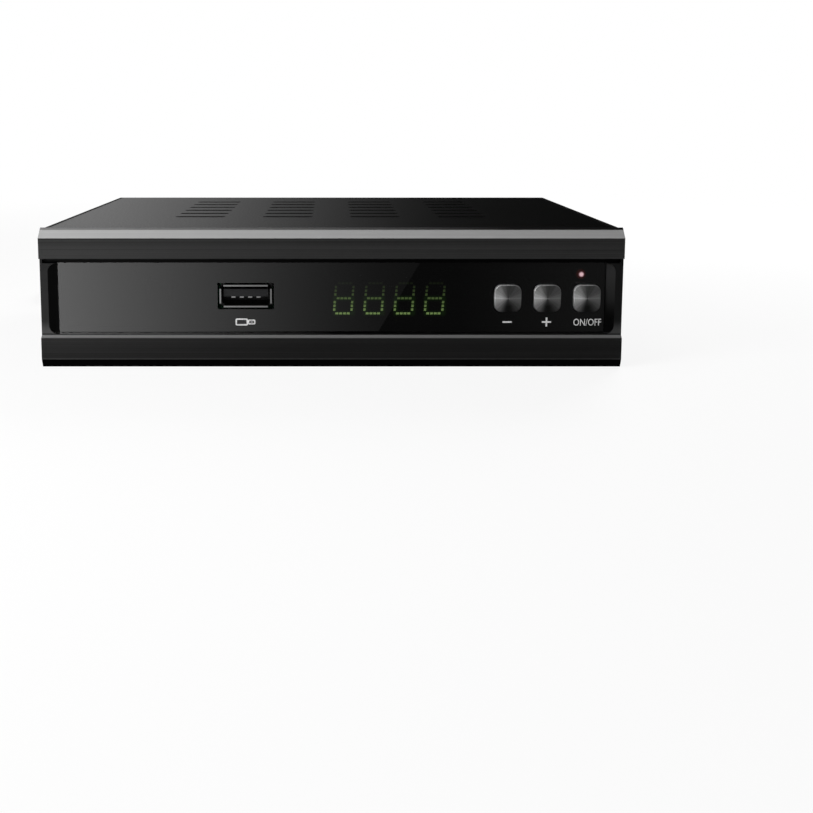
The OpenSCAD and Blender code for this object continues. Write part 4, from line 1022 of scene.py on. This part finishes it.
def round_box(x0, x1, z0, z1, radius):
    """Points round a box with round corners, its upper half first."""
    points = []
    corners = ((x1, z1, 0), (x0, z1, 1), (x0, z0, 2), (x1, z0, 3))
    for x, z, quarter in corners:
        cx = x - radius if x == x1 else x + radius
        cz = z - radius if z == z1 else z + radius
        for step in range(ARC_STEPS + 1):
            angle = math.pi / 2 * (quarter + step / ARC_STEPS)
            points.append((cx + radius * math.cos(angle), cz + radius * math.sin(angle)))
    return points


def arch_points(x0, x1, z0, z1, radius):
    """A box whose upper corners are round."""
    return round_box(x0, x1, z0, z1, radius)[:HALF_BOX] + [(x0, z0), (x1, z0)]


def bar_points(x0, x1, z0, z1, radius):
    """A box whose lower corners are round."""
    return [(x1, z1), (x0, z1)] + round_box(x0, x1, z0, z1, radius)[HALF_BOX:]


def build_rear_print(black, white):
    """Frames with a numbered bar under each socket, on the panel's outer face."""
    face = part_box("rear_panel")[1].y
    dark = Ink(face + INK_T * MM, face)
    pale = Ink(face + 2 * INK_T * MM, face + INK_T * MM)
    for right, left, top, number in REAR_FRAMES:
        inner = (left + LINE_W, right - LINE_W, BAR_TOP, top - LINE_W)
        dark.ring(
            arch_points(left, right, BAR_TOP, top, FRAME_R),
            arch_points(*inner, FRAME_R - LINE_W),
        )
        dark.plate(bar_points(left, right, FRAME_FOOT, BAR_TOP, FRAME_R))
        foot = (FRAME_FOOT + BAR_TOP - REAR_TEXT_H) / 2
        pale.text(number, (left + right) / 2, foot, REAR_TEXT_H, True)
    right, left, low, high = PLATE
    dark.frame(left, right, low, high, PLATE_R)
    dark.text("~", (WAVE_ZONE[0] + WAVE_ZONE[1]) / 2, WAVE_Z, WAVE_H, True)
    dark.finish("rear_print", black, "black_plastic")
    pale.finish("rear_numbers", white, "panel_white")


def build_front_print(grey_ink):
    """Signs under the keys and under the socket in the window."""
    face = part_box("display_lens")[0].y
    ink = Ink(face - INK_T * MM, face)
    z = FRONT_TEXT_Z
    x = middle_of("power_button").x / MM + POWER_TEXT_X
    ink.text("ON/OFF", x, z - FRONT_TEXT_H / 2, FRONT_TEXT_H, False, POWER_TEXT_NARROW)
    arm, half = SIGN_W / 2, SIGN_LINE / 2
    for node, crossed in (("channel_down_button", False), ("channel_up_button", True)):
        x = middle_of(node).x / MM
        outline = [(x + side, z + half) for side in (arm, half, -half, -arm)]
        below = [(2 * x - px, 2 * z - pz) for px, pz in outline]
        if crossed:
            outline[2:2] = [(x + half, z + arm), (x - half, z + arm)]
            below[2:2] = [(x - half, z - arm), (x + half, z - arm)]
        ink.plate(outline + below)
    x = middle_of("front_usb_shell").x / MM
    for left, right, tall in PLUG_SIGN:
        ink.frame(x + left, x + right, z - tall, z + tall, PLUG_SIGN_R)
    left, right, tall = PLUG_HOLE
    for hole in (z - PLUG_HOLE_Z, z + PLUG_HOLE_Z):
        ink.plate(round_box(x + left, x + right, hole - tall, hole + tall, PLUG_HOLE_R))
    ink.finish("front_print", grey_ink, "panel_white")


def build_digits(material):
    """Four figures of dashed strokes on the display's face."""
    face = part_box("display_module")[0].y
    ink = Ink(face - DIGIT_T * MM, face)

    def dash(x, z, wide, high):
        corners = [(x + a * wide, z + b * high) for a, b in SQUARE]
        ink.plate([(cx + DIGIT_SLANT * (cz - DIGIT_Z), cz) for cx, cz in corners])

    for middle in DIGIT_XS:
        for level in (-1, 0, 1):
            for step in range(LEVEL_DASHES):
                x = middle + (step - (LEVEL_DASHES - 1) / 2) * DASH_PITCH
                dash(x, DIGIT_Z + level * DIGIT_HALF_H, *LEVEL_DASH)
        for side in (-1, 1):
            for part in (-1, 1):
                for step in range(UPRIGHT_DASHES):
                    off = (step - (UPRIGHT_DASHES - 1) / 2) * DASH_PITCH
                    z = DIGIT_Z + part * DIGIT_HALF_H / 2 + off
                    dash(middle + side * DIGIT_HALF_W, z, *UPRIGHT_DASH)
    ink.finish("display_digits", material, "display_grey")


def strap_points(room):
    """Points round the wound lead where the strap crosses it, that far from the turns' middles."""
    middle_x = CORD_X + COIL_AT[0]
    middles = [coil_point(i + 0.5) for i in range(int(ALL_TURNS))]
    points = []
    for step in range(STRAP_STEPS):
        angle = 2.0 * math.pi * step / STRAP_STEPS
        out_x, out_z = math.cos(angle), math.sin(angle)
        far = max(middles, key=lambda point: point.x * out_x + point.z * out_z)
        points.append((middle_x + far.x + room * out_x, far.z + room * out_z))
    return points


def build_strap(material):
    """Band pulled tight round the wound lead, with its end lapped over on top."""
    low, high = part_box("coil_tie")
    ink = Ink(low.y, high.y)
    room = CORD_D / 2 + STRAP_GAP
    outer = strap_points(room + STRAP_T)
    ink.ring(outer, strap_points(room))
    top = max(z for x, z in outer)
    flat = [x for x, z in outer if z > top - LEVEL_ROOM]
    start, end = min(flat), max(flat)
    lap = start + LAP_SHARE * (end - start)
    ink.plate(round_box(start + LAP_START, lap, top - LAP_SINK, top + STRAP_T, LAP_R))
    strap = ink.finish("tie_strap", material, "tie_white")
    edge = strap.modifiers.new("edge", "BEVEL")
    edge.width = STRAP_EDGE * MM
    edge.segments = 2
    edge.limit_method = "ANGLE"
    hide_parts("coil_tie")
    return strap


def stand_in(frame, node, name):
    """A copy of a solid, to be shown in the solid's place."""
    solid = frame["nodes"][node]
    piece = add_object(name, solid.data.copy())
    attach(piece, body_of(solid)[0])
    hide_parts(node)
    return piece


def mould(piece, size, rounds):
    """Rounds a whole piece, as a mould does: a fine even mesh, smoothed."""
    even = piece.modifiers.new("even", "REMESH")
    even.mode = "VOXEL"
    even.voxel_size = size * MM
    even.use_smooth_shade = True
    smooth = piece.modifiers.new("smooth", "SMOOTH")
    smooth.factor = 0.5
    smooth.iterations = rounds


def round_edges(piece, width, steps):
    """Rounds a piece's sharp edges."""
    weld = piece.modifiers.new("weld", "WELD")
    weld.merge_threshold = SAME_POINT * MM
    flat = piece.modifiers.new("flat", "DECIMATE")
    flat.decimate_type = "DISSOLVE"
    flat.angle_limit = math.radians(FLAT_ANGLE)
    edge = piece.modifiers.new("edge", "BEVEL")
    edge.width = width * MM
    edge.segments = steps
    edge.limit_method = "ANGLE"
    edge.angle_limit = math.radians(SHARP_ANGLE)
    edge.harden_normals = True


def build_sheet(name, corners, material):
    """A flat piece of the stage."""
    mesh = bpy.data.meshes.new(name)
    mesh.from_pydata([mm(corner) for corner in corners], [], [range(len(corners))])
    mesh.materials.append(material)
    return add_object(name, mesh)


def build_floor():
    """Pale floor: shaded round the part, plain white further out, no mirror image before it."""
    material, g = new_material("pale_floor")
    path = g.node("LightPath").outputs
    place = g.place()
    grain = g.noise(place, 40, 3.0)
    lit = g.node("BsdfDiffuse", {"Color": g.blend(grain, grey(0.84), grey(0.86))}).outputs[0]
    seen = g.largest(path["Is Camera Ray"], g.mirrored(path))
    far = g.node("VectorMath", {0: place}, operation="LENGTH").outputs["Value"]
    share = g.slide(far, *mm(FLOOR_SHADE), FLOOR_PLAIN, 1.0, smooth=True)
    pale = g.layer(g.product(seen, share), lit, g.glow("Emission", 1.0))
    ahead = g.slide(g.split(place)[1], *mm(FLOOR_MIRRORED))
    hidden = g.product(path["Is Glossy Ray"], ahead)
    g.show(g.layer(hidden, pale, g.node("BsdfTransparent").outputs[0]))
    corners = [(x * FLOOR_REACH, y * FLOOR_REACH, -FLOOR_DROP) for x, y in SQUARE]
    build_sheet("floor", corners, material)


def build_world():
    """White to the eye, an even soft light on the part, and pale cards for mirrored rays alone."""
    world = bpy.data.worlds.new("studio")
    bpy.context.scene.world = world
    world.use_nodes = True
    g = Graph(world.node_tree)
    path = g.node("LightPath").outputs
    x, y, z = g.split(g.node("TexCoord").outputs["Generated"])
    side = g.product(x, y, 2.0)

    def wing(edges, power, end, level):
        """A card on one half of the sky, fading across the side."""
        fade = g.math("POWER", g.slide(side, *edges), power)
        return g.product(fade, g.slide(y, 0.0, end, 0.0, level))

    wings = g.largest(wing((0.24, -0.46), 1.8, 0.3, 1.15), wing((0.12, -0.28), 1.5, -0.3, 0.8))
    back = g.product(wings, g.slide(z, -0.02, 0.04))
    zenith = g.product(g.slide(z, 0.75, 1.0), g.slide(x, 0.35, -0.35), 0.3)
    front = g.product(g.slide(y, 0.0, -0.3), g.slide(x, 0.13, 0.25, 0.07, 0.15))
    right = g.slide(x, 0.72, 0.85, 0.0, 0.35)
    cards = g.math("ADD", g.largest(back, zenith), g.largest(front, right))
    soft = g.glow("Background", SOFT_LIGHT)
    mixed = g.layer(g.mirrored(path), soft, g.glow("Background", cards))
    mixed = g.layer(path["Is Camera Ray"], mixed, g.glow("Background", 1.0))
    g.show(mixed, "OutputWorld")


def build_lights():
    for name, (at, target, size, watts) in LIGHTS.items():
        data = bpy.data.lights.new(name, "AREA")
        data.shape = "RECTANGLE"
        data.size, data.size_y = mm(size)
        data.energy = watts
        lamp = add_object(name, data)
        lamp.location = mm(at)
        lamp.rotation_euler = (Vector(target) - Vector(at)).to_track_quat("-Z", "Y").to_euler()
        lamp.visible_glossy = name != HIDDEN_LIGHT


def build_card():
    """A lit card before the window, seen only as its reflection: it fades to the right."""
    material, g = new_material("window_card")
    share = g.slide(g.split(g.place())[0], *mm(CARD_FADE), 1.0, 0.0)
    level = g.math("ADD", g.product(share, share, CARD_LIGHT), CARD_LEAST)
    g.show(g.glow("Emission", level))
    card = build_sheet("window_card", [(x, CARD_Y, z) for x, z in CARD_CORNERS], material)
    card.visible_camera = False
    card.visible_diffuse = False
    card.visible_transmission = False
    card.visible_shadow = False


def main():
    bpy.context.scene.view_settings.view_transform = "Standard"
    for old in list(bpy.data.objects):
        bpy.data.objects.remove(old)
    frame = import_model()
    build_camera()
    finishes = make_finishes()
    dress(frame, finishes)
    strap = build_strap(finishes["tie_white"])
    plug = stand_in(frame, "plug_body", "plug_shell")
    mould(plug, PLUG_MESH, PLUG_ROUNDS)
    prongs = stand_in(frame, "plug_pins", "plug_prongs")
    round_edges(prongs, PIN_ROUND, PIN_STEPS)
    build_cord(finishes["cord_black"])
    for node in ("channel_down", "channel_up", "power"):
        key = stand_in(frame, node + "_button", node + "_key")
        round_edges(key, KEY_ROUND, KEY_STEPS)
    inks = {name: plain_finish(name, *values) for name, values in INKS.items()}
    build_rear_print(inks["black_ink"], inks["white_ink"])
    build_front_print(inks["grey_ink"])
    build_digits(glow_finish())
    build_floor()
    build_world()
    build_lights()
    build_card()
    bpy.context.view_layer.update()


main()
